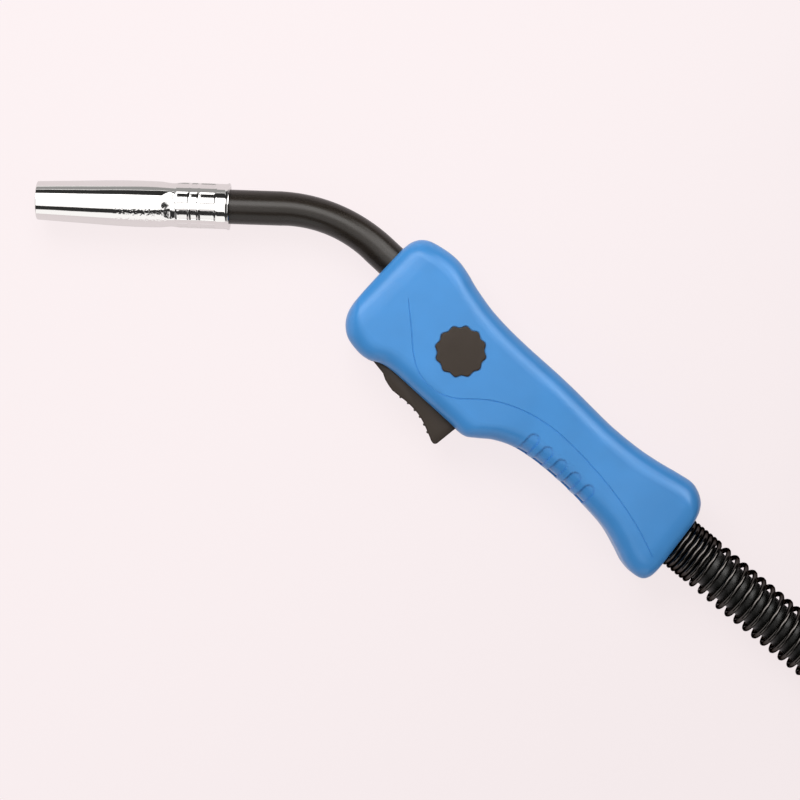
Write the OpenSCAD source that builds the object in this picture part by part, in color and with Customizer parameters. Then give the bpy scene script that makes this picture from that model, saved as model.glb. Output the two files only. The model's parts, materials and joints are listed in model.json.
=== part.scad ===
// Hand-held welding torch for a wire-feed arc welder, with its cable and machine plug.
// Millimetres, +Z up. The torch lies on one flat side of its handle.
// Origin: on that flat side, under the centre of the badge.
// +X runs from the mouth of the gas nozzle back along the nozzle's axis.

/* [Handle] */
// Thickness of the closed handle across its two flat sides
handle_thick = 32; // [31.6:0.1:33]
// Wall of each half shell
wall = 2.5; // [2.2:0.1:2.8]
// Depth of the finger slots and of the curved line
relief_depth = 0.8; // [0.4:0.1:1]
// Number of finger slots
finger_slots = 5; // [1:1:6]
// Distance from one finger slot to the next
slot_pitch = 7.4; // [6:0.1:8]
// Width of a finger slot
slot_w = 4.4; // [3.6:0.1:5]
// Diameter of the badge over its scallops
badge_d = 20.6; // [18:0.1:22]
// Number of scallops round the badge
badge_lobes = 12; // [10:1:16]

/* [Neck] */
// Angle between the nozzle's axis and the handle's axis
neck_angle = 41; // [35:1:45]
// Bend radius of the neck's centre line
bend_r = 59; // [56:1:66]
// Straight neck between the bend and the handle
neck_lead = 7.5; // [6:0.5:9]
// Straight neck showing between the nozzle and the bend
neck_show = 20.8; // [18:0.1:22]
// Diameter of the neck's black sleeve
sleeve_d = 13.8; // [13.2:0.1:14]

/* [Gas nozzle] */
// Length of the gas nozzle
nozzle_len = 77.2; // [74:0.2:78]
// Diameter of the nozzle's mouth
mouth_d = 15.4; // [15:0.1:16]
// Diameter of the nozzle's body
body_d = 18.5; // [18.3:0.1:18.8]
// Diameter of the nozzle's bore
nozzle_bore = 16; // [15.8:0.1:16.2]
// Rows of pressed panels round the nozzle
panel_rows = 8; // [5:1:8]

/* [Trigger] */
// Width of the trigger
trigger_w = 12; // [10:0.5:12.4]
// Diameter of the pivot pin
pin_d = 3; // [2.6:0.1:3.2]
// Ridges under the finger
trigger_ridges = 6; // [4:1:6]

/* [Cable] */
// Diameter of the cable
cable_d = 15.5; // [15:0.1:15.8]
// Outer diameter of the spring at the handle
spring_d = 22.2; // [21.8:0.1:22.4]
// Outer diameter of the spring at the plug
plug_spring_d = 20.7; // [20.4:0.1:21]
// Wire of the cable springs
spring_wire = 2.1; // [1.9:0.05:2.1]
// Curls of the handle's spring that lie close together
close_curls = 8; // [4:1:9]
// Curls of the handle's spring that stand apart
open_curls = 16; // [10:1:18]
// Distance between turns of the cable's coil
coil_pitch = 16.4; // [16.3:0.1:17]
// Outer radius of the coil, at the middle of the cable
coil_r = 108; // [106:1:110]

/* [Plug] */
// Diameter of the locking nut
nut_d = 45; // [43:0.5:45]
// Diameter of the central pin
plug_pin_d = 10; // [9.9:0.05:10.1]

/* [Hidden] */
$fn = 48;

blue = "#4f93d6";
black = "#2b2927";
steel = "#b9bcc0";
brass = "#c9a24b";
copper = "#b87347";
rubber = "#242322";

// ---------------------------------------------------------------- curves and swept solids

function unit(v) = v / norm(v);

// Smooth curve through a list of rows; u counts the rows, so u = 1.5 is halfway from row 1 to row 2
function blend(rows, u) =
    let (last = len(rows) - 1,
         i = max(0, min(floor(u), last - 1)),
         f = u - i,
         a = rows[max(i - 1, 0)], b = rows[i], c = rows[i + 1], d = rows[min(i + 2, last)])
    0.5 * (2 * b + (c - a) * f + (2 * a - 5 * b + 4 * c - d) * f * f
           + (3 * b - a - 3 * c + d) * f * f * f);

// Ring of points round a centre, square to a heading; its first point lies towards ref
function ring(centre, heading, ref, r, sides) =
    let (h = unit(heading),
         p = unit(ref - (ref * h) * h),
         q = cross(h, p))
    [for (k = [0:sides - 1]) centre + r * (cos(360 * k / sides) * p + sin(360 * k / sides) * q)];

// Heading of a run of centres at step i
function heading_at(line, i) = line[min(i + 1, len(line) - 1)] - line[max(i - 1, 0)];

// Solid through a run of rings, closed at both ends; rings turn clockwise seen along the run
module swept(rings) {
    n = len(rings);
    m = len(rings[0]);
    points = [for (r = rings) each r];
    sides = [for (i = [0:n - 2], k = [0:m - 1])
        let (a = i * m + k, b = i * m + (k + 1) % m)
        each [[a, b, b + m], [a, b + m, a + m]]];
    first_cap = [for (k = [1:m - 2]) [0, k + 1, k]];
    last_cap = [for (k = [1:m - 2]) let (z = (n - 1) * m) [z, z + k, z + k + 1]];
    polyhedron(points, concat([for (f = concat(sides, first_cap, last_cap)) [f[0], f[2], f[1]]]));
}

// Round cable along a line of centres
module cable_along(line, r, sides) {
    swept([for (i = [0:len(line) - 1]) ring(line[i], heading_at(line, i), [0, 0, 1], r, sides)]);
}

// Tube between two radii along +X
module tube_x(x0, x1, r_out, r_in = 0) {
    translate([x0, 0, 0]) rotate([0, 90, 0]) difference() {
        cylinder(h = x1 - x0, r = r_out);
        if (r_in > 0) translate([0, 0, -1]) cylinder(h = x1 - x0 + 2, r = r_in);
    }
}

// Solid of revolution about +X from a closed outline of [x, radius] points
module turned_x(outline) {
    rotate([0, 90, 0]) rotate_extrude($fn = 96)
        polygon([for (p = outline) [p[1], p[0]]]);
}

// Hexagon along +X, measured across its flats
module hex_x(x0, x1, flats) {
    translate([x0, 0, 0]) rotate([0, 90, 0]) cylinder(h = x1 - x0, d = flats / cos(30), $fn = 6);
}

// ---------------------------------------------------------------- frames of reference

mid = handle_thick / 2;
bend_tangent = bend_r * tan(neck_angle / 2);
vertex_x = nozzle_len + neck_show + bend_tangent;
badge_at = [45.4, -7.8];
// How far the neck's axis lies above the middle line of the handle frame
neck_up = 0.33;

// Handle frame: origin where the neck enters, X along the handle, Z from its parting plane
module in_handle() {
    rotate([0, 0, -neck_angle]) translate([-badge_at[0], -badge_at[1], mid]) children();
}

// Neck frame: the handle frame, moved on to the neck's axis
module in_neck() {
    in_handle() translate([0, neck_up, 0]) children();
}

// Nozzle frame: origin at the nozzle's mouth, X back along the nozzle
module in_nozzle() {
    in_neck() translate([-neck_lead - bend_tangent, 0, 0])
        rotate([0, 0, neck_angle]) translate([-vertex_x, 0, 0]) children();
}

// Cable exit in the handle frame, and its turn from the handle's axis
exit_at = [160.4, -3.65];
exit_turn = 3.5;

// Exit frame: origin where the cable leaves the handle, X along the cable
module in_exit() {
    in_handle() translate([exit_at[0], exit_at[1], 0]) rotate([0, 0, exit_turn]) children();
}

// Plug frame: origin at the plug's cable end, X towards the pin's tip
plug_at = [303, 90, 10.45];
plug_tilt = 6.5;
plug_turn = [0, -plug_tilt, 180];

module in_plug() {
    translate(plug_at) rotate(plug_turn) children();
}

// ---------------------------------------------------------------- front end

waist_at = 53.5;
panel_from = 56.1;
panel_lengths = [5, 3.1, 6.4];
panel_gap = 0.6;
panel_w = 4.2;
panel_depth = 0.3;
// Turn of the rows of panels about the nozzle's axis
panel_turn = 7;
// Dents that pinch the nozzle on to its insulator, one ahead of each row
dent_at = 53.2;
dent_r = 7;
dent_depth = 0.35;
rear_r = body_d / 2 - 0.2;

// Outer radius of the nozzle: [distance from the mouth, radius]
nozzle_outer = [
    [0, mouth_d / 2], [10, mouth_d / 2 + 0.45], [20, body_d / 2 - 0.65], [30, body_d / 2 - 0.2],
    [38, body_d / 2], [47, body_d / 2], [waist_at, body_d / 2 - 0.28], [waist_at + 4, rear_r]
];
nozzle_curve = [for (k = [0:2 * (len(nozzle_outer) - 1)]) blend(nozzle_outer, k / 2)];

module at_each_row() {
    for (row = [0:panel_rows - 1]) rotate([panel_turn + 360 * (row + 0.5) / panel_rows, 0, 0]) children();
}

module pressed_panels() {
    starts = [0, panel_lengths[0] + panel_gap, panel_lengths[0] + panel_lengths[1] + 2 * panel_gap];
    difference() {
        at_each_row() for (k = [0:2]) translate([panel_from + starts[k], -panel_w / 2, 0])
            cube([panel_lengths[k], panel_w, body_d]);
        tube_x(0, nozzle_len, rear_r - panel_depth);
    }
    at_each_row() translate([dent_at, 0, body_d / 2 - 0.28 - dent_depth + dent_r]) sphere(r = dent_r, $fn = 48);
}

module gas_nozzle() {
    color("#d9dbde") in_nozzle() difference() {
        turned_x(concat(
            nozzle_curve,
            [[nozzle_len - 1.2, rear_r], [nozzle_len - 0.6, rear_r + 0.35], [nozzle_len, rear_r + 0.35],
             [nozzle_len, nozzle_bore / 2], [26, nozzle_bore / 2], [10, mouth_d / 2 - 1.1],
             [0.8, mouth_d / 2 - 1.1], [0, mouth_d / 2 - 0.8]]));
        pressed_panels();
    }
}

tip_from = 3;
tip_len = 28;
tip_r = 4;
wire_bore_r = 0.55;

module contact_tip() {
    color(copper) in_nozzle() difference() {
        turned_x([[tip_from, 0], [tip_from, 2.4], [tip_from + 2.5, tip_r], [tip_from + tip_len - 7, tip_r],
                  [tip_from + tip_len - 7, 3], [tip_from + tip_len, 3], [tip_from + tip_len, 0]]);
        tube_x(tip_from - 1, tip_from + tip_len + 1, wire_bore_r);
        for (side = [-1, 1]) translate([tip_from + 12, side * (tip_r + 1.3) - 2, -tip_r])
            cube([8, 4, 2 * tip_r]);
    }
}

holder_from = tip_from + tip_len - 7;
holder_len = 26;

module tip_holder() {
    color(brass) in_nozzle() difference() {
        union() {
            hex_x(holder_from, holder_from + 8, 10);
            tube_x(holder_from + 8, holder_from + holder_len, 5.4);
        }
        tube_x(holder_from - 1, tip_from + tip_len, 3);
        tube_x(tip_from + tip_len - 1, holder_from + holder_len + 1, 2.4);
        for (a = [0:60:300]) rotate([a, 0, 0]) translate([holder_from + 14, 0, 0])
            cylinder(h = 8, r = 0.9);
        tube_x(holder_from + holder_len - 6, holder_from + holder_len + 1, 4.4);
    }
}

insulator_from = 46;
insulator_to = 71;
sleeve_from = insulator_to;
neck_tube_r = 4.4;

module nozzle_insulator() {
    holder_to = holder_from + holder_len;
    color("#5b4334") in_nozzle() turned_x([
        [insulator_from, 5.4], [insulator_from, 6.8], [insulator_from + 1.5, nozzle_bore / 2 - 0.06],
        [insulator_to, nozzle_bore / 2 - 0.06], [insulator_to, neck_tube_r + 0.05],
        [holder_to, neck_tube_r + 0.05], [holder_to, 5.4]]);
}

// Step of the neck's radius where the bend ends, so that no two faces of that join nearly coincide
bend_step = 0.05;

// Solid rod that follows the neck, from a distance behind the mouth to a distance inside the handle
module neck_rod(from, to, r) {
    reach = bend_r + 20;
    in_nozzle() {
        tube_x(from, nozzle_len + neck_show, r);
        translate([nozzle_len + neck_show, -bend_r, 0]) {
            intersection() {
                rotate_extrude($fn = 96) translate([bend_r, 0]) circle(r = r);
                translate([0, 0, -reach / 2]) cube(reach);
                rotate([0, 0, -neck_angle]) translate([-reach, 0, -reach / 2]) cube(reach);
            }
            rotate([0, 0, -neck_angle]) translate([0, bend_r, 0]) tube_x(0, neck_lead + to, r - bend_step);
        }
    }
}

module neck_pipe(from, to, r_out, r_in) {
    difference() {
        union() neck_rod(from, to, r_out);
        union() neck_rod(from - 1, to + 1, r_in);
    }
}

sleeve_end = 9.5;
neck_tube_end = 34;

module neck_sleeve() {
    color(black) neck_pipe(sleeve_from, sleeve_end, sleeve_d / 2, neck_tube_r + 0.05);
}

module neck_tube() {
    color(copper) neck_pipe(holder_from + holder_len - 6, neck_tube_end, neck_tube_r, 2.6);
}

module wire_liner() {
    color(steel) neck_pipe(tip_from + tip_len + 1, 56, 2.3, 1);
}

// ---------------------------------------------------------------- handle

// Stations of the handle: [lower edge x, lower edge y, upper edge x, upper edge y, half thickness, edge radius]
stations = [
    [0.8, -17, 0.8, 7.6, 10.5, 5], [1.1, -23, 1.5, 11, 12.5, 6.5], [2.3, -27.5, 3.3, 14, 14.3, 7.5],
    [4.9, -31.3, 6.4, 16.2, 15.6, 8], [9.1, -34.2, 11.1, 17.5, 16, 8], [15.5, -35.4, 16.5, 18.3, 16, 8],
    [20.5, -34.8, 21.5, 18.2, 16, 8], [26, -32.4, 27, 17, 16, 8], [32, -31.6, 33, 15.2, 16, 8],
    [42, -31.5, 43, 13.1, 16, 8], [52, -31.4, 53, 12.2, 16, 8], [62, -31.3, 63, 12, 16, 8],
    [69, -31.2, 70, 12.1, 16, 8], [73.5, -28.4, 75, 12.2, 16, 8], [79, -24.3, 81, 12.3, 15.9, 8],
    [87, -20.8, 89, 12.25, 15.6, 8], [97, -19, 98, 11.95, 15.3, 8], [110, -18.3, 110, 11.65, 15.2, 8],
    [124, -18.8, 123, 12.45, 15.4, 8], [135, -19.9, 133, 14, 15.8, 8], [144, -22.6, 142, 16, 16, 8],
    [150, -24.8, 148.2, 17, 16, 8], [155.5, -25.5, 152.5, 16, 15.9, 8], [159.5, -24.6, 156, 13.8, 15.2, 7.5],
    [161.3, -22.4, 158, 11.1, 14, 6.5], [161.7, -20, 158.9, 8.7, 12.8, 5.2]
];
arc_steps = 4;

// Outline of the handle's upper half at station u, drawn in by inset
function handle_section(u, inset, below) =
    let (q = blend(stations, u),
         low = [q[0], q[1] + inset], span = norm([q[2] - q[0], q[3] - q[1]]) - 2 * inset,
         across = unit([q[2] - q[0], q[3] - q[1]]),
         half = q[4] - inset, r = max(q[5] - inset, 2))
    [for (p = concat(
        [[span, -below]],
        [for (k = [0:arc_steps]) let (a = 90 * k / arc_steps)
            [span - r + r * cos(a), half - r + r * sin(a)]],
        [for (k = [arc_steps:-1:0]) let (a = 90 * k / arc_steps) [r - r * cos(a), half - r + r * sin(a)]],
        [[0, -below]]))
        [low[0] + across[0] * p[0], low[1] + across[1] * p[0], p[1] * handle_thick / 32]];

module handle_loft(inset, from, to, steps, below = 0) {
    swept([for (k = [0:steps]) handle_section(from + (to - from) * k / steps, inset, below)]);
}

// The curved line on each flat side
line_points = [
    [16, -6.5], [20.5, -10.5], [26, -15.3], [31.5, -20.4], [36.5, -23.9], [42, -25.8], [47.5, -26],
    [52.5, -24.8], [57.5, -21.9], [62.5, -17.6], [68, -13.3], [75.5, -9.5], [84, -6.7], [94, -5.1],
    [106, -5], [120, -6.2], [134, -8.6], [146, -11.8], [156, -15.6]
];
line_w = 0.8;

module line_ribbon() {
    steps = 2 * (len(line_points) - 1);
    centres = [for (k = [0:steps]) blend(line_points, k / 2)];
    normals = [for (k = [0:steps]) let (h = unit(heading_at(centres, k))) [-h[1], h[0]]];
    polygon(concat(
        [for (k = [0:steps]) centres[k] + normals[k] * line_w / 2 * min(1, 0.15 + k / 6)],
        [for (k = [steps:-1:0]) centres[k] - normals[k] * line_w / 2 * min(1, 0.15 + k / 6)]));
}

first_slot = 89;
slot_top = -13.6;

module relief_cutters() {
    difference() {
        union() {
            for (k = [0:finger_slots - 1]) translate([first_slot + k * slot_pitch, slot_top, 1]) {
                cylinder(h = 18, d = slot_w);
                translate([-slot_w / 2, -14, 0]) cube([slot_w, 14, 18]);
            }
            translate([0, 0, 12]) linear_extrude(8) line_ribbon();
        }
        handle_loft(relief_depth, 2, 23.5, 43, 1);
    }
}

screw_spots = [[11, -26], [24, 12.2], [73, -22.8], [142, 10.6], [139.5, -17.1]];
// How far under the outer surface bosses and ribs stop, deeper than any relief
inner_inset = 1.2;
pivot_at = [25, -29.5];
slot_from = 20;
slot_to = 66.6;
slot_half = trigger_w / 2 + 0.4;
spring_seat_at = [59, -14];

// What both half shells share, open side down at z = 0
module half_shell() {
    difference() {
        union() {
            difference() {
                handle_loft(0, 0, 25, 50);
                relief_cutters();
                handle_loft(wall, 2.5, 22.7, 30, 1);
            }
            intersection() {
                inner_supports();
                handle_loft(inner_inset, 0.6, 24.4, 40);
            }
        }
        translate([0, neck_up, 0]) tube_x(-2, 30, sleeve_d / 2 + 0.1);
        translate([exit_at[0], exit_at[1], 0]) rotate([0, 0, exit_turn]) {
            tube_x(-20, 8, cable_d / 2 + 0.6);
            tube_x(-14, 8, spring_d / 2 + 0.35);
        }
        translate([slot_from, -42, -1]) cube([slot_to - slot_from, 14.5, slot_half + 1]);
        translate(pivot_at) translate([0, 0, -1]) cylinder(h = 10.5, d = pin_d);
    }
}

// Screw bosses, pivot boss and the bulkheads that hold the neck and the cable, before they are cut to the shell
module inner_supports() {
    for (p = screw_spots) translate(p) cylinder(h = mid, r = 3.6);
    translate([pivot_at[0], pivot_at[1], slot_half]) cylinder(h = mid - slot_half, r = 3.4);
    bulkhead(10, 11.8, -15, 20);
    bulkhead(22.2, 24, -15, 20);
    translate([exit_at[0], exit_at[1], 0]) rotate([0, 0, exit_turn]) bulkhead(-17, -15, -14, 14);
}

// Plate across the handle, open side down at z = 0
module bulkhead(x0, x1, low, high) {
    translate([x0, low, 0]) cube([x1 - x0, high - low, mid]);
}

screw_r = 1.5;
screw_head_r = 3;
head_seat = 8;

module handle_shell_upper() {
    color(blue) in_handle() difference() {
        half_shell();
        for (p = screw_spots) translate([p[0], p[1], -1]) cylinder(h = 13, r = screw_r);
        translate([badge_at[0], badge_at[1], mid - 0.8]) cylinder(h = 3, d = badge_d + 0.4);
    }
}

module handle_shell_lower() {
    color(blue) in_handle() mirror([0, 0, 1]) {
        difference() {
            half_shell();
            for (p = screw_spots) translate([p[0], p[1], 0]) {
                translate([0, 0, -1]) cylinder(h = mid + 2, r = screw_r + 0.25);
                translate([0, 0, head_seat]) cylinder(h = mid, r = screw_head_r + 0.3);
            }
        }
        translate([spring_seat_at[0] - 4, spring_seat_at[1], -4]) cube([8, 1.8, mid + 2]);
        for (x = switch_holes) translate([switch_from + x, switch_low + switch_hole_up, 0]) {
            translate([0, 0, switch_size[2] / 2]) cylinder(h = mid - 1.5 - switch_size[2] / 2, r = 2.4);
            translate([0, 0, -3]) cylinder(h = 8, r = switch_hole_r - 0.05);
        }
    }
}

module handle_screws() {
    color(steel) in_handle() for (p = screw_spots) translate([p[0], p[1], 0]) difference() {
        union() {
            translate([0, 0, -head_seat - 2.4]) cylinder(h = 2.4, r = screw_head_r);
            translate([0, 0, -head_seat]) cylinder(h = head_seat + 11, r = screw_r);
        }
        for (a = [0, 90]) rotate([0, 0, a]) translate([-2, -0.4, -head_seat - 3]) cube([4, 0.8, 2]);
    }
}

module badge() {
    lobe_r = 3;
    color(black) in_handle() translate([badge_at[0], badge_at[1], mid - 0.8]) linear_extrude(1.1) {
        circle(r = badge_d / 2 - 0.9);
        for (k = [0:badge_lobes - 1]) rotate(360 * k / badge_lobes)
            translate([badge_d / 2 - lobe_r, 0]) circle(r = lobe_r, $fn = 24);
    }
}

// ---------------------------------------------------------------- parts held in the handle

module neck_nut() {
    color(brass) in_neck() difference() {
        hex_x(12, 22, 14.6);
        tube_x(11, 23, 4.4);
    }
}

fitting_end = 66;
ferrule_from = 52;
inner_cable_from = 54;

module cable_fitting() {
    color(brass) in_neck() difference() {
        union() {
            hex_x(24.2, 34, 13);
            tube_x(34, ferrule_from, 6);
            tube_x(ferrule_from, fitting_end, 4);
        }
        tube_x(24, neck_tube_end, 4.4);
        tube_x(33, fitting_end + 1, 2.4);
    }
}

module crimp_ferrule() {
    color(copper) in_neck() difference() {
        tube_x(ferrule_from, 70, 8.6);
        tube_x(ferrule_from - 1, 71, 4);
        tube_x(inner_cable_from, 71, cable_d / 2 + 0.1);
    }
}

// Side of the trigger that the finger pulls
finger_curve = [[36, -37.4], [40, -37.1], [44, -36.8], [48, -37], [51.5, -37.6], [55, -38.8], [58, -40.1]];

module trigger_profile() {
    polygon(concat(
        [for (a = [90:15:240]) pivot_at + 5.2 * [cos(a), sin(a)]],
        [[28.6, -34.9], [31, -36.2], [33.8, -37]],
        [for (k = [0:2 * (len(finger_curve) - 1)]) blend(finger_curve, k / 2)],
        [[59.8, -40.9], [61.2, -41.6], [62.3, -41.8], [63.1, -41.5], [63.5, -40.7], [64.8, -31.7], [64.8, -28],
         [63.5, -26.6], [45, -24.9]]));
}

// First ridge and the step to the next, along the rows of the finger curve
ridge_from = 1.05;
ridge_step = 0.965;
ridge_r = 0.5;

module trigger() {
    color(black) in_handle() difference() {
        translate([0, 0, -trigger_w / 2]) {
            linear_extrude(trigger_w) trigger_profile();
            for (k = [0:trigger_ridges - 1]) translate(blend(finger_curve, ridge_from + k * ridge_step))
                cylinder(h = trigger_w, r = ridge_r, $fn = 16);
        }
        translate([pivot_at[0], pivot_at[1], -trigger_w]) cylinder(h = 2 * trigger_w, d = pin_d + 0.1);
        translate([spring_seat_at[0], -29.6, 0]) rotate([-90, 0, 0]) cylinder(h = 8, r = 3.3);
    }
}

module trigger_pin() {
    color(steel) in_handle() translate([pivot_at[0], pivot_at[1], -9.4]) cylinder(h = 18.8, d = pin_d);
}

return_spring_r = 2.5;
return_wire_r = 0.3;
return_curls = 6;

// Centre line of a helix about +X: equal rings on each turn
function helix(from, length, curls, r, per_curl) =
    [for (k = [0:curls * per_curl]) let (a = 360 * k / per_curl)
        [from + length * k / (curls * per_curl), r * cos(a), r * sin(a)]];

module wound_wire(line, axis_points, wire_r) {
    swept([for (i = [0:len(line) - 1])
        ring(line[i], heading_at(line, i), line[i] - axis_points[i], wire_r, 6)]);
}

module trigger_spring() {
    line = helix(0.4, 14.6, return_curls, return_spring_r, 8);
    color(steel) in_handle() translate([spring_seat_at[0], -29.5, 0]) rotate([0, 0, 90])
        wound_wire(line, [for (p = line) [p[0], 0, 0]], return_wire_r);
}

switch_from = 33;
switch_size = [20, 10.2, 6.4];
switch_low = -20.5;
// Fixing holes through the switch: distances along it, height over its lower face, radius
switch_holes = [5.5, 15];
switch_hole_up = 7.6;
switch_hole_r = 1.1;
plunger_at = 37;

module switch_body() {
    color("#1f1f22") in_handle() difference() {
        translate([switch_from, switch_low, -switch_size[2] / 2]) cube(switch_size);
        translate([plunger_at, switch_low - 1, 0]) rotate([-90, 0, 0]) cylinder(h = 5.2, r = 1.3);
        for (x = switch_holes) translate([switch_from + x, switch_low + switch_hole_up, -5])
            cylinder(h = 10, r = switch_hole_r);
    }
}

module switch_plunger() {
    color("#c8372d") in_handle() translate([plunger_at, -24.2, 0]) rotate([-90, 0, 0])
        cylinder(h = 5.6, r = 1.22);
}

terminal_rows = [-17.6, -12.8];

module switch_terminals() {
    color(brass) in_handle() for (y = terminal_rows)
        translate([switch_from - 3.6, y - 0.3, -1.4]) cube([3.6, 0.6, 2.8]);
}

// Route of each switch wire from its terminal over the brass fitting to the ferrule's face
wire_routes = [
    [[28.9, -17.6, 0], [27.4, -16.8, 1.2], [26.6, -13.4, 4.8], [28, -11.2, 8.2], [33, -10, 9.4],
     [42, -9, 8], [48, -7.4, 4.6], [51.5, -6.7, 2.8]],
    [[28.9, -12.8, 0], [27.4, -12.4, -1.2], [26.6, -11.4, -4.8], [28, -10.4, -8.2], [33, -9.8, -9.4],
     [42, -9, -8], [48, -7.4, -4.6], [51.5, -6.7, -2.8]]
];

module switch_wires() {
    color("#8b1e1e") in_handle() for (route = wire_routes) cable_along(route, 0.7, 8);
}

module cable_grommet() {
    color(rubber) in_exit() difference() {
        union() {
            tube_x(-14.8, -12, spring_d / 2 + 0.8);
            tube_x(-12, -spring_inset - spring_wire / 2 - 0.2, spring_d / 2 + 0.2);
        }
        tube_x(-16, -7, cable_d / 2 + 0.1);
    }
}

// ---------------------------------------------------------------- cable

cable_sides = 12;
cable_r = cable_d / 2;
grommet_back = 18;

// Handle frame to part frame, for points
function from_handle(p) =
    let (x = p[0] - badge_at[0], y = p[1] - badge_at[1])
    [x * cos(neck_angle) + y * sin(neck_angle), y * cos(neck_angle) - x * sin(neck_angle), mid + p[2]];

exit_dir = [cos(exit_turn), sin(exit_turn), 0];
exit_point = from_handle([exit_at[0], exit_at[1], 0]);
exit_heading = from_handle([exit_at[0], exit_at[1], 0] + exit_dir) - exit_point;

// Centres of the cable inside the handle, in the handle frame
inside_line = concat(
    [[inner_cable_from, neck_up, 0], [71, neck_up, 0], [84, -0.6, 0], [98, -2.5, 0], [114, -4.6, 0],
     [128, -5.4, 0]],
    [for (d = [grommet_back, 10, 0]) [exit_at[0], exit_at[1], 0] - d * exit_dir]);

module cable_in_handle() {
    color(rubber) in_handle() difference() {
        cable_along(inside_line, cable_r, cable_sides);
        translate([0, neck_up, 0]) tube_x(50, fitting_end, 4.02);
    }
}

// Coil: the cable spirals in on the floor, climbs in the half turn where it turns back, and spirals out
coil_centre = [263, -70];
coil_start = -127.8;
coil_sweep = 1567.8;
coil_rings = 24;
coil_lift = 0.05;
layer_low = cable_r + coil_lift;
layer_high = layer_low + cable_d + 0.8;

function coil_point(a) =
    let (back = abs(a - coil_sweep / 2),
         r = coil_r - coil_pitch * (coil_sweep / 2 - back) / 360,
         lift = back > 90 ? sign(a - coil_sweep / 2) : sin(a - coil_sweep / 2),
         z = (layer_low + layer_high) / 2 + lift * (layer_high - layer_low) / 2)
    [coil_centre[0] + r * cos(coil_start + a), coil_centre[1] + r * sin(coil_start + a), z];

coil_in = [cos(coil_start + 90), sin(coil_start + 90), 0];
coil_out = [0, 1, 0];
coil_steps = ceil(coil_sweep / 360 * coil_rings);
coil_line = concat(
    [coil_point(0) - cable_d * coil_in],
    [for (k = [0:coil_steps]) coil_point(coil_sweep * k / coil_steps)],
    [coil_point(coil_sweep) + cable_d * coil_out]);

// Cable from the handle to the coil: straight out, down on to the floor, and along it
lead_points = [
    exit_point, exit_point + 14 * exit_heading, [112.9, -90.5, 15.2], [129, -102.8, 13.7],
    [144.6, -114.8, 12.4], [160.3, -126.7, 11.7], [172.5, -135.8, 9.9]
];
// Straight end where two runs meet, so that both end square to one heading
joint_run = 4;
lead_line = concat(lead_points, [coil_line[0] - joint_run * coil_in, coil_line[0]]);

// Cable from the coil to the plug: down off the coil's upper layer, round, and up into the plug
plug_axis = [-cos(plug_tilt), 0, sin(plug_tilt)];
tail_points = [
    [371, -40, 23.6], [371, -25, 22], [371, -10, 18.8], [371, 4, 14.8], [370.9, 18, 11],
    [368.8, 34, 8.7], [362.6, 51, 7.8], [352.4, 66, 7.8], [339, 78.2, 7.8], [322.5, 86.6, 8.3]
];
plug_cable_end = 60;
tail_line = concat(
    [coil_line[len(coil_line) - 1], coil_line[len(coil_line) - 1] + joint_run * coil_out], tail_points,
    [plug_at, plug_at + plug_cable_end / 2 * plug_axis, plug_at + plug_cable_end * plug_axis]);

module cable_lead() {
    color(rubber) cable_along(lead_line, cable_r, cable_sides);
}

module cable_coil() {
    color(rubber) cable_along(coil_line, cable_r, 6);
}

module cable_tail() {
    color(rubber) cable_along(tail_line, cable_r, cable_sides);
}

// Spring wound on a line of centres; curl_starts gives the distance along the line at each full turn
function along(line, d, i = 0) =
    let (gap = norm(line[i + 1] - line[i]))
    d <= gap || i >= len(line) - 2
        ? line[i] + d / gap * (line[i + 1] - line[i])
        : along(line, d - gap, i + 1);

spring_steps = 8;
close_pitch = spring_wire + 0.55;
open_pitch = 4.7;

function spring_distance(turn, close) =
    turn < close ? turn * close_pitch : close * close_pitch + (turn - close) * open_pitch;

function spring_line(line, turns, close, outer_d) =
    [for (k = [0:turns * spring_steps])
        let (d = spring_distance(k / spring_steps, close),
             c = along(line, d),
             h = unit(along(line, d + 1) - along(line, max(d - 1, 0))),
             p = unit([0, 0, 1] - h[2] * h),
             q = cross(h, p),
             a = 360 * k / spring_steps)
        c + (outer_d - spring_wire) / 2 * (cos(a) * p + sin(a) * q)];

function spring_axis(line, turns, close) =
    [for (k = [0:turns * spring_steps]) along(line, spring_distance(k / spring_steps, close))];

// Smooth line under the handle's spring, from its seat inside the handle
spring_inset = 7;
lead_curve = concat(
    [exit_point - spring_inset * exit_heading],
    [for (k = [0:4 * (len(lead_line) - 1)]) blend(lead_line, k / 4)]);
plug_spring_from = 1;
plug_line = [plug_at + plug_spring_from * plug_axis, plug_at + 70 * plug_axis];
plug_curls = 12;
plug_close = 3;

module cable_spring(line, turns, close, outer_d) {
    wound_wire(spring_line(line, turns, close, outer_d), spring_axis(line, turns, close), spring_wire / 2);
}

module handle_cable_spring() {
    color(black) cable_spring(lead_curve, close_curls + open_curls, close_curls, spring_d);
}

module plug_cable_spring() {
    color(black) cable_spring(plug_line, plug_curls, plug_close, plug_spring_d);
}

// Least gap of a wound wire or cable to itself, measured from centre to centre on points a turn or more apart
function least_gap(line, apart, d) =
    min([for (i = [0:len(line) - 1 - apart], j = [i + apart:min(i + 3 * apart, len(line) - 1)])
        norm(line[i] - line[j])]) - d;

echo(coil_gap = least_gap(coil_line, 16, cable_d),
     handle_spring_gap = least_gap(spring_line(lead_curve, close_curls + open_curls, close_curls, spring_d), 5,
                                   spring_wire),
     plug_spring_gap = least_gap(spring_line(plug_line, plug_curls, plug_close, plug_spring_d), 5, spring_wire),
     trigger_spring_gap = least_gap(helix(0.4, 14.6, return_curls, return_spring_r, 8), 5, 2 * return_wire_r));

function run_length(line) = len(line) < 2 ? 0
    : [for (i = 0, s = 0; i < len(line); s = i + 1 < len(line) ? s + norm(line[i + 1] - line[i]) : s, i = i + 1) s][len(line) - 1];
echo(lead = run_length(lead_line), coil = run_length(coil_line), tail = run_length(tail_line));

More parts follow.
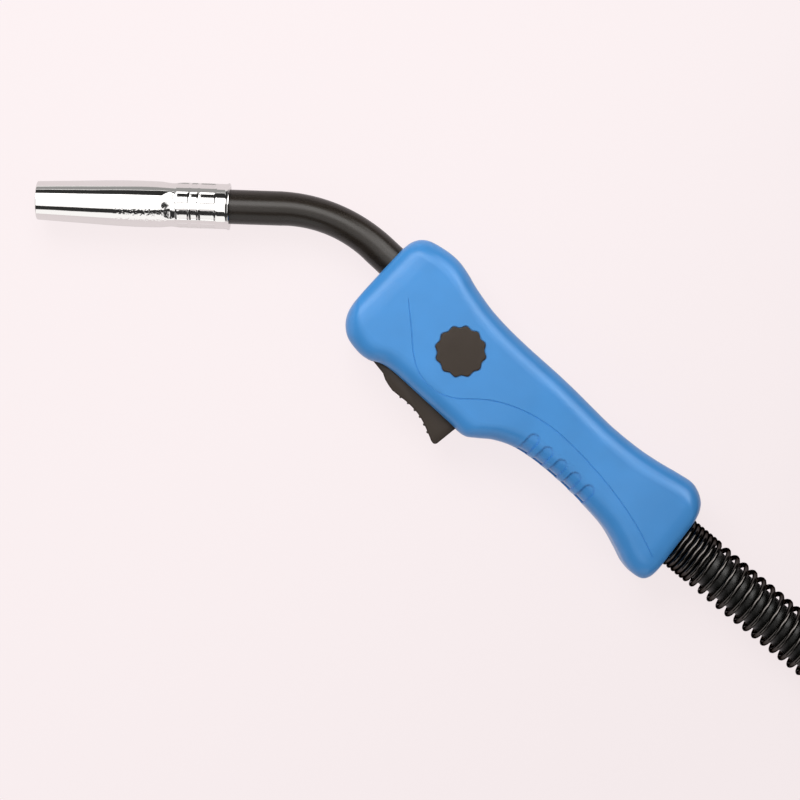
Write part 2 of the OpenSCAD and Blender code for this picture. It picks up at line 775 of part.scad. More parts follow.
// ---------------------------------------------------------------- machine plug

housing_from = 48;
housing_to = 108;
housing_wall = 2.6;
flange_to = 114;
nut_from = 106.6;
nut_to = 137;
pin_to = 140;
tail_r = 5.8;
ring_from = 135;
ring_w = 2;
pin_tip_r = 4.7;

// Outline of the plug's housing: [distance, radius]
housing_outer = [
    [housing_from, 13], [54, 14], [66, 15.2], [80, 18.4], [94, 19.6], [housing_to, 20]
];

module plug_half(turn) {
    outer = [for (k = [0:3 * (len(housing_outer) - 1)]) blend(housing_outer, k / 3)];
    rotate([turn, 0, 0]) intersection() {
        difference() {
            turned_x(concat(outer, [[housing_to, 17.2], [94, 16.9], [80, 15.6], [68, 12.4], [60.4, 11.6],
                                    [60.4, plug_spring_d / 2 + 0.35],
                                    [housing_from, plug_spring_d / 2 + 0.35]]));
            for (side = [-1, 1]) translate([76, side * 14.6, -30]) cylinder(h = 60, r = 1.3);
            for (side = [-1, 1]) translate([76, side * 14.6, 8]) cylinder(h = 30, r = 2.6);
        }
        translate([0, -30, 0]) cube([200, 60, 40]);
    }
}

module plug_housing_upper() {
    color("#33312f") in_plug() plug_half(0);
}

module plug_housing_lower() {
    color("#33312f") in_plug() plug_half(180);
}

module plug_screws() {
    color(steel) in_plug() for (side = [-1, 1]) translate([76, side * 14.6, 0]) {
        translate([0, 0, 8]) cylinder(h = 1.8, r = 2.4);
        translate([0, 0, -7]) cylinder(h = 15, r = 1.3);
    }
}

module plug_crimp() {
    color(copper) in_plug() difference() {
        tube_x(66, 80, 9.2);
        tube_x(65, 81, tail_r);
    }
}

module plug_body() {
    color(brass) in_plug() difference() {
        union() {
            tube_x(plug_cable_end, 84, tail_r);
            hex_x(84, 96, 19);
            tube_x(96, flange_to, 9);
        }
        tube_x(59, flange_to + 1, 2.1);
    }
}

signal_r = 13;
signal_pin_r = 2;

module plug_flange() {
    color("#4a4744") in_plug() difference() {
        union() {
            tube_x(housing_to - 4, housing_to, 17);
            tube_x(housing_to, housing_to + 2.4, 19.4);
            tube_x(housing_to + 2.4, flange_to, 16.6);
        }
        tube_x(housing_to - 5, flange_to + 1, 9);
        for (side = [-1, 1]) translate([0, 0, side * signal_r])
            tube_x(housing_to - 5, flange_to + 1, signal_pin_r + 0.06);
    }
}

module plug_nut() {
    grips = 24;
    color("#2f2d2b") in_plug() difference() {
        turned_x([[nut_from, 20.3], [nut_from, nut_d / 2 - 1], [nut_from + 1, nut_d / 2],
                  [nut_to - 1, nut_d / 2], [nut_to, nut_d / 2 - 1], [nut_to, 18.4], [118, 18.4],
                  [118, 17], [110.8, 17], [110.8, 20.3]]);
        for (k = [0:grips - 1]) rotate([360 * k / grips, 0, 0]) translate([0, 0, nut_d / 2 + 0.9])
            tube_x(nut_from + 4, nut_to + 1, 1.6, $fn = 16);
    }
}

module plug_pin() {
    color(brass) in_plug() difference() {
        union() {
            tube_x(flange_to, ring_from, plug_pin_d / 2);
            tube_x(ring_from, pin_to, pin_tip_r);
        }
        tube_x(flange_to - 1, pin_to + 1, 2.1);
        tube_x(ring_from, ring_from + ring_w, plug_pin_d / 2 + 1, pin_tip_r - 0.9);
    }
}

module pin_ring() {
    color(rubber) in_plug() tube_x(ring_from + 0.05, ring_from + ring_w - 0.05, pin_tip_r - 0.05,
                                       pin_tip_r - 0.9);
}

module liner_nut() {
    color(brass) in_plug() difference() {
        hex_x(pin_to, pin_to + 6, 8);
        tube_x(pin_to - 1, pin_to + 7, 1.2);
    }
}

// Sprung pin with a round nose, through the flange
module signal_pin(side) {
    color(brass) in_plug() translate([0, 0, side * signal_r])
        turned_x([[housing_to - 8, 0], [housing_to - 8, 2.8], [housing_to - 4.1, 2.8],
                  [housing_to - 4.1, signal_pin_r], [flange_to + 9, signal_pin_r],
                  [flange_to + 10.4, 1.4], [flange_to + 11, 0]]);
}

module signal_pin_upper() {
    signal_pin(1);
}

module signal_pin_lower() {
    signal_pin(-1);
}

// ---------------------------------------------------------------- nodes

gas_nozzle();
contact_tip();
tip_holder();
nozzle_insulator();
neck_sleeve();
neck_tube();
wire_liner();
neck_nut();
cable_fitting();
crimp_ferrule();
handle_shell_upper();
handle_shell_lower();
handle_screws();
badge();
trigger();
trigger_pin();
trigger_spring();
switch_body();
switch_plunger();
switch_terminals();
switch_wires();
cable_grommet();
cable_in_handle();
handle_cable_spring();
cable_lead();
cable_coil();
cable_tail();
plug_cable_spring();
plug_housing_upper();
plug_housing_lower();
plug_screws();
plug_body();
plug_crimp();
plug_flange();
plug_nut();
plug_pin();
pin_ring();
liner_nut();
signal_pin_upper();
signal_pin_lower();
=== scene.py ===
"""Hand-held welding torch with its cable and machine plug.

Objects are in metres in the model's own frame; sizes and points in this file are in millimetres.
"""
import json
import math

import bmesh
import bpy
import numpy as np
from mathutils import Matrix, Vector


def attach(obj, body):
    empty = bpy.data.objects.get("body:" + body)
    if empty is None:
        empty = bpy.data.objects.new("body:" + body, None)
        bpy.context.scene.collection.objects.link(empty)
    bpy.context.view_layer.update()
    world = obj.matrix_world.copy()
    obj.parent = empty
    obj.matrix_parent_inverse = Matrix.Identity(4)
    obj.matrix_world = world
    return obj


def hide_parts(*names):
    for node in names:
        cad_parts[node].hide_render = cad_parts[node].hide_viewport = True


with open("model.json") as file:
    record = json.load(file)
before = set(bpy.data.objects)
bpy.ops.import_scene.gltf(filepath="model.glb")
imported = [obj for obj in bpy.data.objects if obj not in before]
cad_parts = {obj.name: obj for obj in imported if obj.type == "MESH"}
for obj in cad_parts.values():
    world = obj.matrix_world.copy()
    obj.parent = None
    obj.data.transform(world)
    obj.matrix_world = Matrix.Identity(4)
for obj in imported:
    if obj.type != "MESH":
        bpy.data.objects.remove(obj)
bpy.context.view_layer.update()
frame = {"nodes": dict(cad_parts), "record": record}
NODES = frame["nodes"]

bl_info = {
    "name": "Welding Torch",
    "version": (1, 0, 0),
    "blender": (4, 5, 0),
    "location": "View3D > Sidebar > Torch",
    "description": "Builds a hand-held welding torch around its packed model",
    "category": "Object",
}

MM = 0.001
# Edges sharper than this are rounded, in degrees
SHARP_FROM = 40.0
NECK_ANGLE = math.radians(41)
MID = 16.0
BADGE_AT = np.array([45.4, -7.8])
NECK_UP = 0.33
NECK_LEAD = 7.5
EXIT_AT = np.array([160.4, -3.65])
EXIT_TURN = math.radians(3.5)
PIVOT_AT = (25.0, -29.5)
PLUG_AT = np.array([303.0, 90.0, 10.45])
PLUG_TILT = math.radians(6.5)
PLUG_AXIS = np.array([-math.cos(PLUG_TILT), 0.0, math.sin(PLUG_TILT)])


# ---- settings

def size(name, default, description):
    """A length in millimetres that a user may change."""
    return bpy.props.FloatProperty(name=name, default=default, min=0.0, description=description)


def colour(name, default, description):
    """A surface colour that a user may change."""
    return bpy.props.FloatVectorProperty(
        name=name, default=default, size=3, min=0.0, max=1.0, subtype="COLOR", description=description)


class HandleSettings(bpy.types.PropertyGroup):
    """Sizes of the moulded handle."""
    wall: size("Wall", 2.5, "Wall of each half shell, in mm")
    line_w: size("Line width", 0.5, "Width of the curved line on each side, in mm")
    relief: size("Slot depth", 0.75, "Depth of the finger slots, in mm")
    slot_w: size("Slot width", 4.4, "Width of a finger slot, in mm")
    slot_pitch: size("Slot pitch", 7.4, "Distance from one finger slot to the next, in mm")
    slots: bpy.props.IntProperty(name="Finger slots", default=5, min=1, max=6,
                                 description="Number of finger slots")
    badge_d: size("Badge diameter", 20.6, "Diameter of the badge over its scallops, in mm")
    badge_lobes: bpy.props.IntProperty(name="Badge lobes", default=12, min=8, max=24,
                                       description="Number of scallops round the badge")


class FrontSettings(bpy.types.PropertyGroup):
    """Sizes of the gas nozzle and the neck."""
    nozzle_len: size("Nozzle length", 77.2, "Length of the gas nozzle, in mm")
    mouth_d: size("Mouth diameter", 15.4, "Diameter of the nozzle's mouth, in mm")
    body_d: size("Body diameter", 18.5, "Diameter of the nozzle's body, in mm")
    bore: size("Bore", 16.0, "Diameter of the nozzle's bore, in mm")
    panel_depth: size("Panel depth", 0.3, "Depth of the pressed panels, in mm")
    sleeve_d: size("Sleeve diameter", 13.8, "Diameter of the neck's sleeve, in mm")
    neck_show: size("Straight neck", 20.8, "Straight neck between the nozzle and the bend, in mm")
    bend_r: size("Bend radius", 59.0, "Radius of the neck's bend, in mm")


class TriggerSettings(bpy.types.PropertyGroup):
    """Sizes of the trigger."""
    width: size("Width", 12.0, "Width of the trigger, in mm")
    edge: size("Edge radius", 0.5, "Radius of the trigger's edges, in mm")
    ridges: bpy.props.IntProperty(name="Ridges", default=6, min=3, max=6,
                                  description="Number of ridges under the finger")


class CableSettings(bpy.types.PropertyGroup):
    """Sizes of the cable and its springs."""
    cable_d: size("Cable diameter", 15.5, "Diameter of the cable, in mm")
    spring_d: size("Handle spring", 21.8, "Outer diameter of the spring at the handle, in mm")
    plug_spring_d: size("Plug spring", 20.7, "Outer diameter of the spring at the plug, in mm")
    wire_d: size("Spring wire", 2.1, "Diameter of the springs' wire, in mm")
    close_pitch: size("Close pitch", 2.12, "Distance between the close curls at the handle, in mm")
    open_pitch: size("Open pitch", 4.7, "Distance between the open curls, in mm")


class FinishSettings(bpy.types.PropertyGroup):
    """Colours of the torch."""
    blue: colour("Handle", (0.056, 0.276, 0.655), "Moulded handle")
    black: colour("Black plastic", (0.037, 0.027, 0.020), "Trigger, badge and plug")
    sleeve: colour("Neck sleeve", (0.016, 0.012, 0.009), "Sleeve of the neck")
    chrome: colour("Chrome", (0.90, 0.89, 0.88), "Plated nozzle")
    floor: colour("Floor", (0.98, 0.89, 0.90), "Floor")


# Materials by slot, filled by main
FINISHES = {}

SETTINGS = {
    "torch_handle": HandleSettings, "torch_front": FrontSettings, "torch_trigger": TriggerSettings,
    "torch_cable": CableSettings, "torch_finish": FinishSettings,
}


# ---- frames of reference

def points(values):
    """Points as an array of rows."""
    return np.atleast_2d(np.asarray(values, dtype=float))


def from_handle(values):
    """Handle frame, in mm, to the part's frame, in mm."""
    p = points(values)
    s, t = p[:, 0] - BADGE_AT[0], p[:, 1] - BADGE_AT[1]
    c, n = math.cos(NECK_ANGLE), math.sin(NECK_ANGLE)
    return np.column_stack([s * c + t * n, t * c - s * n, MID + p[:, 2]])


def from_exit(values):
    """Cable exit frame, in mm, to the handle frame, in mm."""
    p = points(values)
    c, n = math.cos(EXIT_TURN), math.sin(EXIT_TURN)
    return np.column_stack([EXIT_AT[0] + p[:, 0] * c - p[:, 1] * n,
                            EXIT_AT[1] + p[:, 0] * n + p[:, 1] * c, p[:, 2]])


def nozzle_origin(front):
    """Centre of the nozzle's mouth in the part's frame, in mm."""
    tangent = front.bend_r * math.tan(NECK_ANGLE / 2)
    vertex = from_handle([[-NECK_LEAD - tangent, NECK_UP, 0]])[0]
    return vertex - np.array([front.nozzle_len + front.neck_show + tangent, 0, 0])


def unit(v):
    """Heading of a vector."""
    return v / np.linalg.norm(v)


def blend(rows, u):
    """Smooth curve through rows; u counts the rows."""
    rows = np.asarray(rows, dtype=float)
    last = len(rows) - 1
    i = max(0, min(int(math.floor(u)), last - 1))
    f = u - i
    a, b, c, d = rows[max(i - 1, 0)], rows[i], rows[i + 1], rows[min(i + 2, last)]
    return 0.5 * (2 * b + (c - a) * f + (2 * a - 5 * b + 4 * c - d) * f * f
                  + (3 * b - a - 3 * c + d) * f ** 3)


def smooth_line(rows, per_step):
    """Points along the smooth curve through rows."""
    count = (len(rows) - 1) * per_step
    return np.array([blend(rows, k / per_step) for k in range(count + 1)])


# ---- meshes

def add_object(name, data):
    """An object in the scene."""
    obj = bpy.data.objects.new(name, data)
    bpy.context.scene.collection.objects.link(obj)
    return obj


def rough_shape(name, verts, faces):
    """An object from points in mm, to be finished as a piece or used as a cutter."""
    mesh = bpy.data.meshes.new(name)
    mesh.from_pydata([tuple(v) for v in np.asarray(verts) * MM], [], faces)
    tidy_normals(mesh)
    return add_object(name, mesh)


def new_piece(name, verts, faces, body, slot, nodes, sharp=30.0):
    """A piece from points in mm, riding on a body."""
    obj = rough_shape(name, verts, faces)
    finish_piece(obj, body, slot, nodes, sharp)
    return obj


def tidy_normals(mesh):
    """Outward normals all over."""
    bm = bmesh.new()
    bm.from_mesh(mesh)
    bmesh.ops.recalc_face_normals(bm, faces=bm.faces)
    bm.to_mesh(mesh)
    bm.free()


def finish_piece(obj, body, slot, nodes, sharp=30.0):
    """Shading, material, slot, body and the nodes that a piece stands for."""
    smooth_by_angle(obj.data, sharp)
    obj.data.materials.clear()
    obj.data.materials.append(FINISHES[slot])
    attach(obj, body)
    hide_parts(*nodes)


def smooth_by_angle(mesh, degrees):
    """Smooth shading, except at edges sharper than an angle."""
    mesh.polygons.foreach_set("use_smooth", [True] * len(mesh.polygons))
    mesh.set_sharp_from_angle(angle=math.radians(degrees))
    mesh.update()


def ring_faces(rings, sides, closed=False, caps=True):
    """Faces through rings of equal length, wrapped round at the ends or capped."""
    faces = []
    for i in range(rings if closed else rings - 1):
        j = (i + 1) % rings
        for k in range(sides):
            n = (k + 1) % sides
            faces.append((i * sides + k, i * sides + n, j * sides + n, j * sides + k))
    if caps and not closed:
        faces.append(tuple(range(sides))[::-1])
        faces.append(tuple((rings - 1) * sides + k for k in range(sides)))
    return faces


def drop(obj):
    """Deletes a helper and its mesh."""
    mesh = obj.data
    bpy.data.objects.remove(obj)
    bpy.data.meshes.remove(mesh)


def cut(obj, cutters, operation="DIFFERENCE"):
    """Takes each cutter out of an object, or adds it, and deletes it."""
    for cutter in cutters:
        mod = obj.modifiers.new("cut", "BOOLEAN")
        mod.operation = operation
        mod.solver = "EXACT"
        mod.object = cutter
        apply_modifiers(obj)
        drop(cutter)


def apply_modifiers(obj):
    """Makes what the modifiers show the object's own mesh."""
    bpy.context.view_layer.update()
    graph = bpy.context.evaluated_depsgraph_get()
    mesh = bpy.data.meshes.new_from_object(obj.evaluated_get(graph))
    old = obj.data
    obj.modifiers.clear()
    obj.data = mesh
    bpy.data.meshes.remove(old)


def soften(obj, width, segments=3):
    """Rounds the sharp edges; width in mm."""
    mod = obj.modifiers.new("edges", "BEVEL")
    mod.width = width * MM
    mod.segments = segments
    mod.limit_method = "ANGLE"
    mod.angle_limit = math.radians(SHARP_FROM)
    apply_modifiers(obj)


def prism(outline, low, high):
    """Points and faces of a prism over an outline in the handle's plane."""
    n = len(outline)
    base = [(p[0], p[1], low) for p in outline]
    top = [(p[0], p[1], high) for p in outline]
    faces = [tuple(range(n))[::-1], tuple(range(n, 2 * n))]
    faces += [(k, (k + 1) % n, n + (k + 1) % n, n + k) for k in range(n)]
    return from_handle(base + top), faces


def round_angles(count):
    """Angles spread evenly over a full turn."""
    return 2 * math.pi * np.arange(count) / count


def circle(centre, r, angles=round_angles(48)):
    """Points of a circle at the angles."""
    return [(centre[0] + r * math.cos(a), centre[1] + r * math.sin(a)) for a in angles]


def ring(centre, r, up, side, sides):
    """Points round a circle in the plane of two headings."""
    return [centre + r * (math.cos(a) * up + math.sin(a) * side) for a in round_angles(sides)]


def heading_at(line, i):
    """Heading of a line of points at one of them."""
    return unit(line[min(i + 1, len(line) - 1)] - line[max(i - 1, 0)])


def square_to(h):
    """Two headings square to h, the first as near to Z as it gets."""
    up = unit(np.array([0, 0, 1.0]) - h[2] * h)
    return up, np.cross(h, up)


def tube_points(line, r, sides):
    """Rings of points round a line of centres."""
    rings = []
    for i, centre in enumerate(line):
        rings += ring(centre, r, *square_to(heading_at(line, i)), sides)
    return np.array(rings)


# ---- materials

class Sock:
    """A shader socket that takes part in Python expressions; each operator adds its Math node."""

    def __init__(self, finish, socket):
        self.finish, self.socket = finish, socket

    def _math(self, operation, *operands):
        return self.finish.node("ShaderNodeMath", {"operation": operation}, dict(enumerate(operands)))

    def __add__(self, other):
        return self._math("ADD", self, other)

    __radd__ = __add__

    def __mul__(self, other):
        return self._math("MULTIPLY", self, other)

    __rmul__ = __mul__

    def __sub__(self, other):
        return self._math("SUBTRACT", self, other)

    def __rsub__(self, other):
        return self._math("SUBTRACT", other, self)

    def at_least(self, other):
        """The larger of the two."""
        return self._math("MAXIMUM", self, other)

    def step(self, low, high):
        """0 under low, 1 over high, smooth between."""
        return self.finish.node("ShaderNodeMapRange", {"interpolation_type": "SMOOTHSTEP"},
                                {0: self, 1: low, 2: high})


class Finish:
    """A material, or the world, and its nodes."""

    def __init__(self, name, world=None):
        owner = world or bpy.data.materials.new(name)
        owner.use_nodes = True
        self.owner, self.tree = owner, owner.node_tree
        self.tree.nodes.clear()

    def node(self, kind, settings=None, values=None, out=0):
        """A node of a type, its settings first, then the values or links of its sockets."""
        made = self.tree.nodes.new(kind)
        for key, value in (settings or {}).items():
            setattr(made, key, value)
        for key, value in (values or {}).items():
            target = made.inputs[key]
            if isinstance(value, Sock):
                self.tree.links.new(value.socket, target)
            else:
                target.default_value = value
        return Sock(self, made.outputs[out]) if made.outputs else None

    def place(self):
        """Position on the surface, in mm."""
        here = self.node("ShaderNodeTexCoord", out="Object")
        return self.node("ShaderNodeVectorMath", {"operation": "SCALE"}, {0: here, "Scale": 1 / MM})

    def noise(self, scale, detail=3.0, rough=0.5, stretch=(1, 1, 1)):
        """Noise with about scale grains to a millimetre."""
        place = self.node("ShaderNodeVectorMath", {"operation": "MULTIPLY"}, {0: self.place(), 1: stretch})
        return self.node("ShaderNodeTexNoise", {"noise_dimensions": "3D"},
                         {"Vector": place, "Scale": scale, "Detail": detail, "Roughness": rough})

    def mix(self, amount, a, b):
        """Colour between a and b."""
        return self.node("ShaderNodeMix", {"data_type": "RGBA"}, {0: amount, 6: rgba(a), 7: rgba(b)}, out=2)

    def bump(self, height, depth):
        """Normal of a height map, its depth in mm."""
        return self.node("ShaderNodeBump", values={"Height": height, "Distance": depth * MM,
                                                   "Strength": 1.0}, out="Normal")

    def split(self, vector):
        """The three parts of a vector."""
        made = self.node("ShaderNodeSeparateXYZ", values={0: vector}).socket.node
        return [Sock(self, out) for out in made.outputs]

    def rays(self):
        """1 where the camera looks, and 1 where a reflection looks."""
        return [self.node("ShaderNodeLightPath", out=name) for name in ("Is Camera Ray", "Is Glossy Ray")]

    def surface(self, **values):
        """The shader of the surface; keyword names are its sockets'."""
        shader = self.node("ShaderNodeBsdfPrincipled",
                           values={key.replace("_", " "): value for key, value in values.items()})
        self.node("ShaderNodeOutputMaterial", values={"Surface": shader})
        return self.owner


def rgba(value):
    """A colour with its alpha, or a socket as it is."""
    if isinstance(value, Sock):
        return value
    return (*value[:3], 1.0)


def shade(value, factor):
    """A colour made lighter or darker."""
    return tuple(min(1.0, c * factor) for c in value[:3])


def moulded(name, tone, rough, gloss=0.5):
    """Moulded plastic with a fine matt grain and faint handling marks."""
    f = Finish(name)
    fine, broad = f.noise(3.2, 4.0, 0.6), f.noise(0.05, 2.0)
    return f.surface(
        Base_Color=f.mix(broad.step(0.3, 0.7), shade(tone, 0.95), shade(tone, 1.04)),
        Roughness=rough - 0.04 + 0.08 * f.noise(0.22, 3.0), Specular_IOR_Level=gloss,
        Normal=f.bump(fine, 0.012))


def metal(name, tone, rough):
    """Machined metal with fine turning marks and a little staining."""
    f = Finish(name)
    marks, stain = f.noise(1.6, 4.0, 0.6, (0.25, 3.0, 3.0)), f.noise(0.12, 3.0)
    return f.surface(
        Base_Color=f.mix(stain.step(0.35, 0.75), tone, shade(tone, 0.78)),
        Metallic=1.0, Roughness=rough - 0.05 + 0.14 * marks, Normal=f.bump(marks, 0.006))


WAVES = 0.10
RIPPLE = 0.12
# Where the plating is rippled, in mm: it fades in and out along X, and out toward +Y
RIPPLE_IN, RIPPLE_OUT, RIPPLE_TOP = (-141, -136), (-121, -117), (50, 57)


def plated(name, tone):
    """Polished plating with slight waves; rougher in its pressed panels, and its colour a shade darker
    there as painted shade.
    """
    f = Finish(name)
    recess = f.node("ShaderNodeAttribute", {"attribute_name": "recess"}, out="Fac")
    waves, haze = f.noise(0.09, 2.0, 0.5, (0.35, 1, 1)), f.noise(0.8, 3.0)
    along, upward, _ = f.split(f.place())
    patch = along.step(*RIPPLE_IN) * (1 - along.step(*RIPPLE_OUT)) * (1 - upward.step(*RIPPLE_TOP))
    ripple = f.noise(1.1, 1.0) * (0.02 + patch)
    return f.surface(
        # Painted shade: the base colour is made 3% darker in the pressed panels, where the recess is.
        Base_Color=f.mix(recess.step(0.2, 0.9), tone, shade(tone, 0.97)),
        Metallic=1.0, Roughness=0.04 + 0.03 * haze + 0.04 * recess,
        Normal=f.bump(waves * WAVES + ripple * RIPPLE, 1.0))


def satin_sleeve(name, tone):
    """Satin heat-shrunk sleeve with faint lengthwise streaks."""
    f = Finish(name)
    streak, fine = f.noise(0.5, 3.0, 0.5, (0.12, 1, 1)), f.noise(3.0, 3.0)
    return f.surface(
        Base_Color=f.mix(streak.step(0.3, 0.8), tone, shade(tone, 1.25)), Specular_IOR_Level=0.43,
        Roughness=0.22 + 0.12 * streak, Normal=f.bump(fine, 0.006))


def coated_wire(name):
    """Gloss black coating on spring wire, with small scuffs."""
    f = Finish(name)
    scuff = f.noise(0.9, 4.0, 0.65)
    return f.surface(
        Base_Color=f.mix(scuff.step(0.55, 0.8), (0.080, 0.074, 0.070), (0.050, 0.046, 0.044)),
        Metallic=1.0, Specular_Tint=(0.16, 0.15, 0.15, 1.0), Roughness=0.07 + 0.12 * scuff,
        Normal=f.bump(scuff, 0.004))


def extruded_rubber(name):
    """Black cable rubber with a dusty bloom."""
    f = Finish(name)
    fine, bloom = f.noise(2.2, 4.0, 0.6), f.noise(0.07, 3.0)
    return f.surface(
        Base_Color=f.mix(bloom.step(0.4, 0.8), (0.007, 0.007, 0.006), (0.013, 0.012, 0.011)),
        Specular_IOR_Level=0.42, Roughness=0.36 + 0.10 * fine, Normal=f.bump(fine, 0.02))


def make_finishes(tones):
    """Every material, by its slot in the record."""
    return {
        "handle_blue": moulded("handle blue", tones.blue, 0.30),
        "black_plastic": moulded("black plastic", tones.black, 0.44, gloss=0.25),
        "chrome": plated("chrome plate", tones.chrome),
        "copper": metal("copper", (0.72, 0.40, 0.25), 0.32),
        "brass": metal("brass", (0.74, 0.56, 0.26), 0.30),
        "steel": metal("steel", (0.60, 0.61, 0.63), 0.30),
        "neck_black": satin_sleeve("neck sleeve", tones.sleeve),
        "phenolic": moulded("phenolic", (0.11, 0.055, 0.030), 0.5),
        "spring_black": coated_wire("coated wire"),
        "cable_rubber": extruded_rubber("cable rubber"),
        "switch_black": moulded("switch black", (0.016, 0.016, 0.018), 0.5),
        "plunger_red": moulded("plunger red", (0.50, 0.035, 0.025), 0.4),
        "wire_red": moulded("wire red", (0.28, 0.02, 0.02), 0.45),
    }


# ---- handle

# Stations of the handle: [lower edge's x and y, upper edge's x and y, half thickness, edge radius]
STATIONS = [
    [0.8, -17, 0.8, 7.6, 10.5, 5], [1.1, -23, 1.5, 11, 12.5, 6.5], [2.3, -27.5, 3.3, 14, 14.3, 7.5],
    [4.9, -31.3, 6.4, 16.2, 15.6, 8], [9.1, -34.2, 11.1, 17.5, 16, 8], [15.5, -35.4, 16.5, 18.3, 16, 8],
    [20.5, -34.8, 21.5, 18.2, 16, 8], [26, -32.4, 27, 17, 16, 8], [32, -31.6, 33, 15.2, 16, 8],
    [42, -31.5, 43, 13.1, 16, 8], [52, -31.4, 53, 12.2, 16, 8], [62, -31.3, 63, 12, 16, 8],
    [69, -31.2, 70, 12.1, 16, 8], [73.5, -28.4, 75, 12.2, 16, 8], [79, -24.3, 81, 12.3, 15.9, 8],
    [87, -20.8, 89, 12.25, 15.6, 8], [97, -19, 98, 11.95, 15.3, 8], [110, -18.3, 110, 11.65, 15.2, 8],
    [124, -18.8, 123, 12.45, 15.4, 8], [135, -19.9, 133, 14, 15.8, 8], [144, -22.6, 142, 16, 16, 8],
    [150, -24.8, 148.2, 17, 16, 8], [155.5, -25.5, 152.5, 16, 15.9, 8],
    [159.5, -24.6, 156, 13.8, 15.2, 7.5], [161.3, -22.4, 158, 11.1, 14, 6.5],
    [161.7, -20, 158.9, 8.7, 12.8, 5.2],
]

LINE_POINTS = [
    [16, -6.5], [20.5, -10.5], [26, -15.3], [31.5, -20.4], [36.5, -23.9], [42, -25.8], [47.5, -26],
    [52.5, -24.8], [57.5, -21.9], [62.5, -17.6], [68, -13.3], [75.5, -9.5], [84, -6.7], [94, -5.1],
    [106, -5], [120, -6.2], [134, -8.6], [146, -11.8], [156, -15.6],
]
SCREW_SPOTS = [(11, -26), (24, 12.2), (73, -22.8), (142, 10.6), (139.5, -17.1)]
TRIGGER_SLOT = [(20, -42), (66.6, -42), (66.6, -27.5), (20, -27.5)]
TRIGGER_GAP = 0.4
# Round openings: from, to and radius, along the neck or the cable exit
NECK_HOLE, SPRING_HOLE, CABLE_HOLE = (-2, 30, 7.0), (-14, 8, 11.45), (-20, 8, 8.35)
SCREW_HOLE_R, SCREW_SEAT = 3.3, 8.0
BADGE_WAVE, LOBE_POINTS = 0.45, 12
BADGE_RECESS, BADGE_GAP = 0.8, 0.25
# The badge's edge, from its foot up over its bevel: [height over the handle's side, growth of the outline]
BADGE_EDGE = [(-BADGE_RECESS, -0.12), (0.06, -0.12), (0.20, -0.18), (0.29, -0.34), (0.30, -0.6)]
# Half the gap between the shells, and the bevel along it
SEAM = 0.06
SEAM_EDGE = 0.3
# The flat side's first points lie this far from the rounded edges, so its shading stays flat
FLAT_MARGIN = 0.3
# First and last station and the steps of the shells, their hollow and the floor under the finger slots
SHELL, HOLLOW, SLOT_FLOOR = (0, len(STATIONS) - 1, 150), (2.5, 22.7, 60), (2, 23.5, 43)
# Cutters reach this far past the sides, and this far below the middle plane
CLEAR, THROUGH = 2, -1.0
# The curved line's depth, the share of its width that it starts with, and the points that add one width
LINE_DEPTH, LINE_START, LINE_GROWS = 0.28, 0.45, 22
# Finger slots: first one, upper end and foot; the shallow lip round each, and its share of the depth
SLOTS_FROM, SLOT_TOP, SLOT_FOOT = 90.2, -13.6, -30.0
SLOT_LIP, LIP_SHARE = 0.35, 0.4
# Heights over the middle plane that the slots' cutters span
SLOT_SPAN = (1.0, MID + 3)


def handle_profile(u, inset, low, arc=9, flat=10):
    """Outline of half the handle at station u, from its upper edge over the side to its lower edge."""
    q = blend(STATIONS, u)
    start, across = q[0:2], q[2:4] - q[0:2]
    width = np.linalg.norm(across)
    across = across / width
    start, span = start + across * inset, width - 2 * inset
    half, r = q[4] - inset, max(q[5] - inset, 2.0)
    over = circle((span - r, half - r), r, np.linspace(0, math.pi / 2, arc + 1))
    across_flat = [(x, half) for x in np.linspace(span - r - FLAT_MARGIN, r + FLAT_MARGIN, flat)]
    under = [(r - r * math.cos(a), half - r + r * math.sin(a))
             for a in np.linspace(math.pi / 2, 0, arc + 1)]
    if low < 0:
        ends = [(span, low)], [(0.0, low)]
    else:
        ends = ([(span - SEAM_EDGE, low), (span, low + SEAM_EDGE)],
                [(0.0, low + SEAM_EDGE), (SEAM_EDGE, low)])
    outline = ends[0] + over + across_flat + under + ends[1]
    return [(start[0] + across[0] * x, start[1] + across[1] * x, z) for x, z in outline]


def handle_loft(inset, first, last, steps, low, side, **detail):
    """Points and faces of half a handle; side is 1 for the upper half and -1 for the lower."""
    rings = [handle_profile(first + (last - first) * k / steps, inset, low, **detail)
             for k in range(steps + 1)]
    verts = np.array([p for r in rings for p in r])
    verts[:, 2] *= side
    return from_handle(verts), ring_faces(len(rings), len(rings[0]))


def surface_height(s, t):
    """Height of the handle's surface over its middle plane at a point, down its rounded edges too."""
    low, high = 0.0, len(STATIONS) - 1.0
    for _ in range(30):
        u = (low + high) / 2
        q = blend(STATIONS, u)
        f = (t - q[1]) / (q[3] - q[1])
        low, high = (u, high) if q[0] + f * (q[2] - q[0]) < s else (low, u)
    q = blend(STATIONS, (low + high) / 2)
    width, half, r = np.linalg.norm(q[2:4] - q[0:2]), q[4], q[5]
    from_edge = (0.5 - abs((t - q[1]) / (q[3] - q[1]) - 0.5)) * width
    over = max(r - from_edge, 0.0)
    return half - r + math.sqrt(r * r - over * over)


def line_cutter(width, side):
    """Swept cutter of the curved line, which fades in at its front end."""
    route = smooth_line(LINE_POINTS, 6)
    sides, rings = 10, []
    for i, (s, t) in enumerate(route):
        h = heading_at(route, i)
        across = np.array([-h[1], h[0]])
        r = width / 2 * min(1.0, LINE_START + i / LINE_GROWS)
        z = surface_height(s, t)
        for a in round_angles(sides):
            p = route[i] + across * r * math.cos(a)
            rings.append((p[0], p[1], side * (z + LINE_DEPTH * math.sin(a))))
    return rough_shape("line cutter", from_handle(rings), ring_faces(len(route), sides))


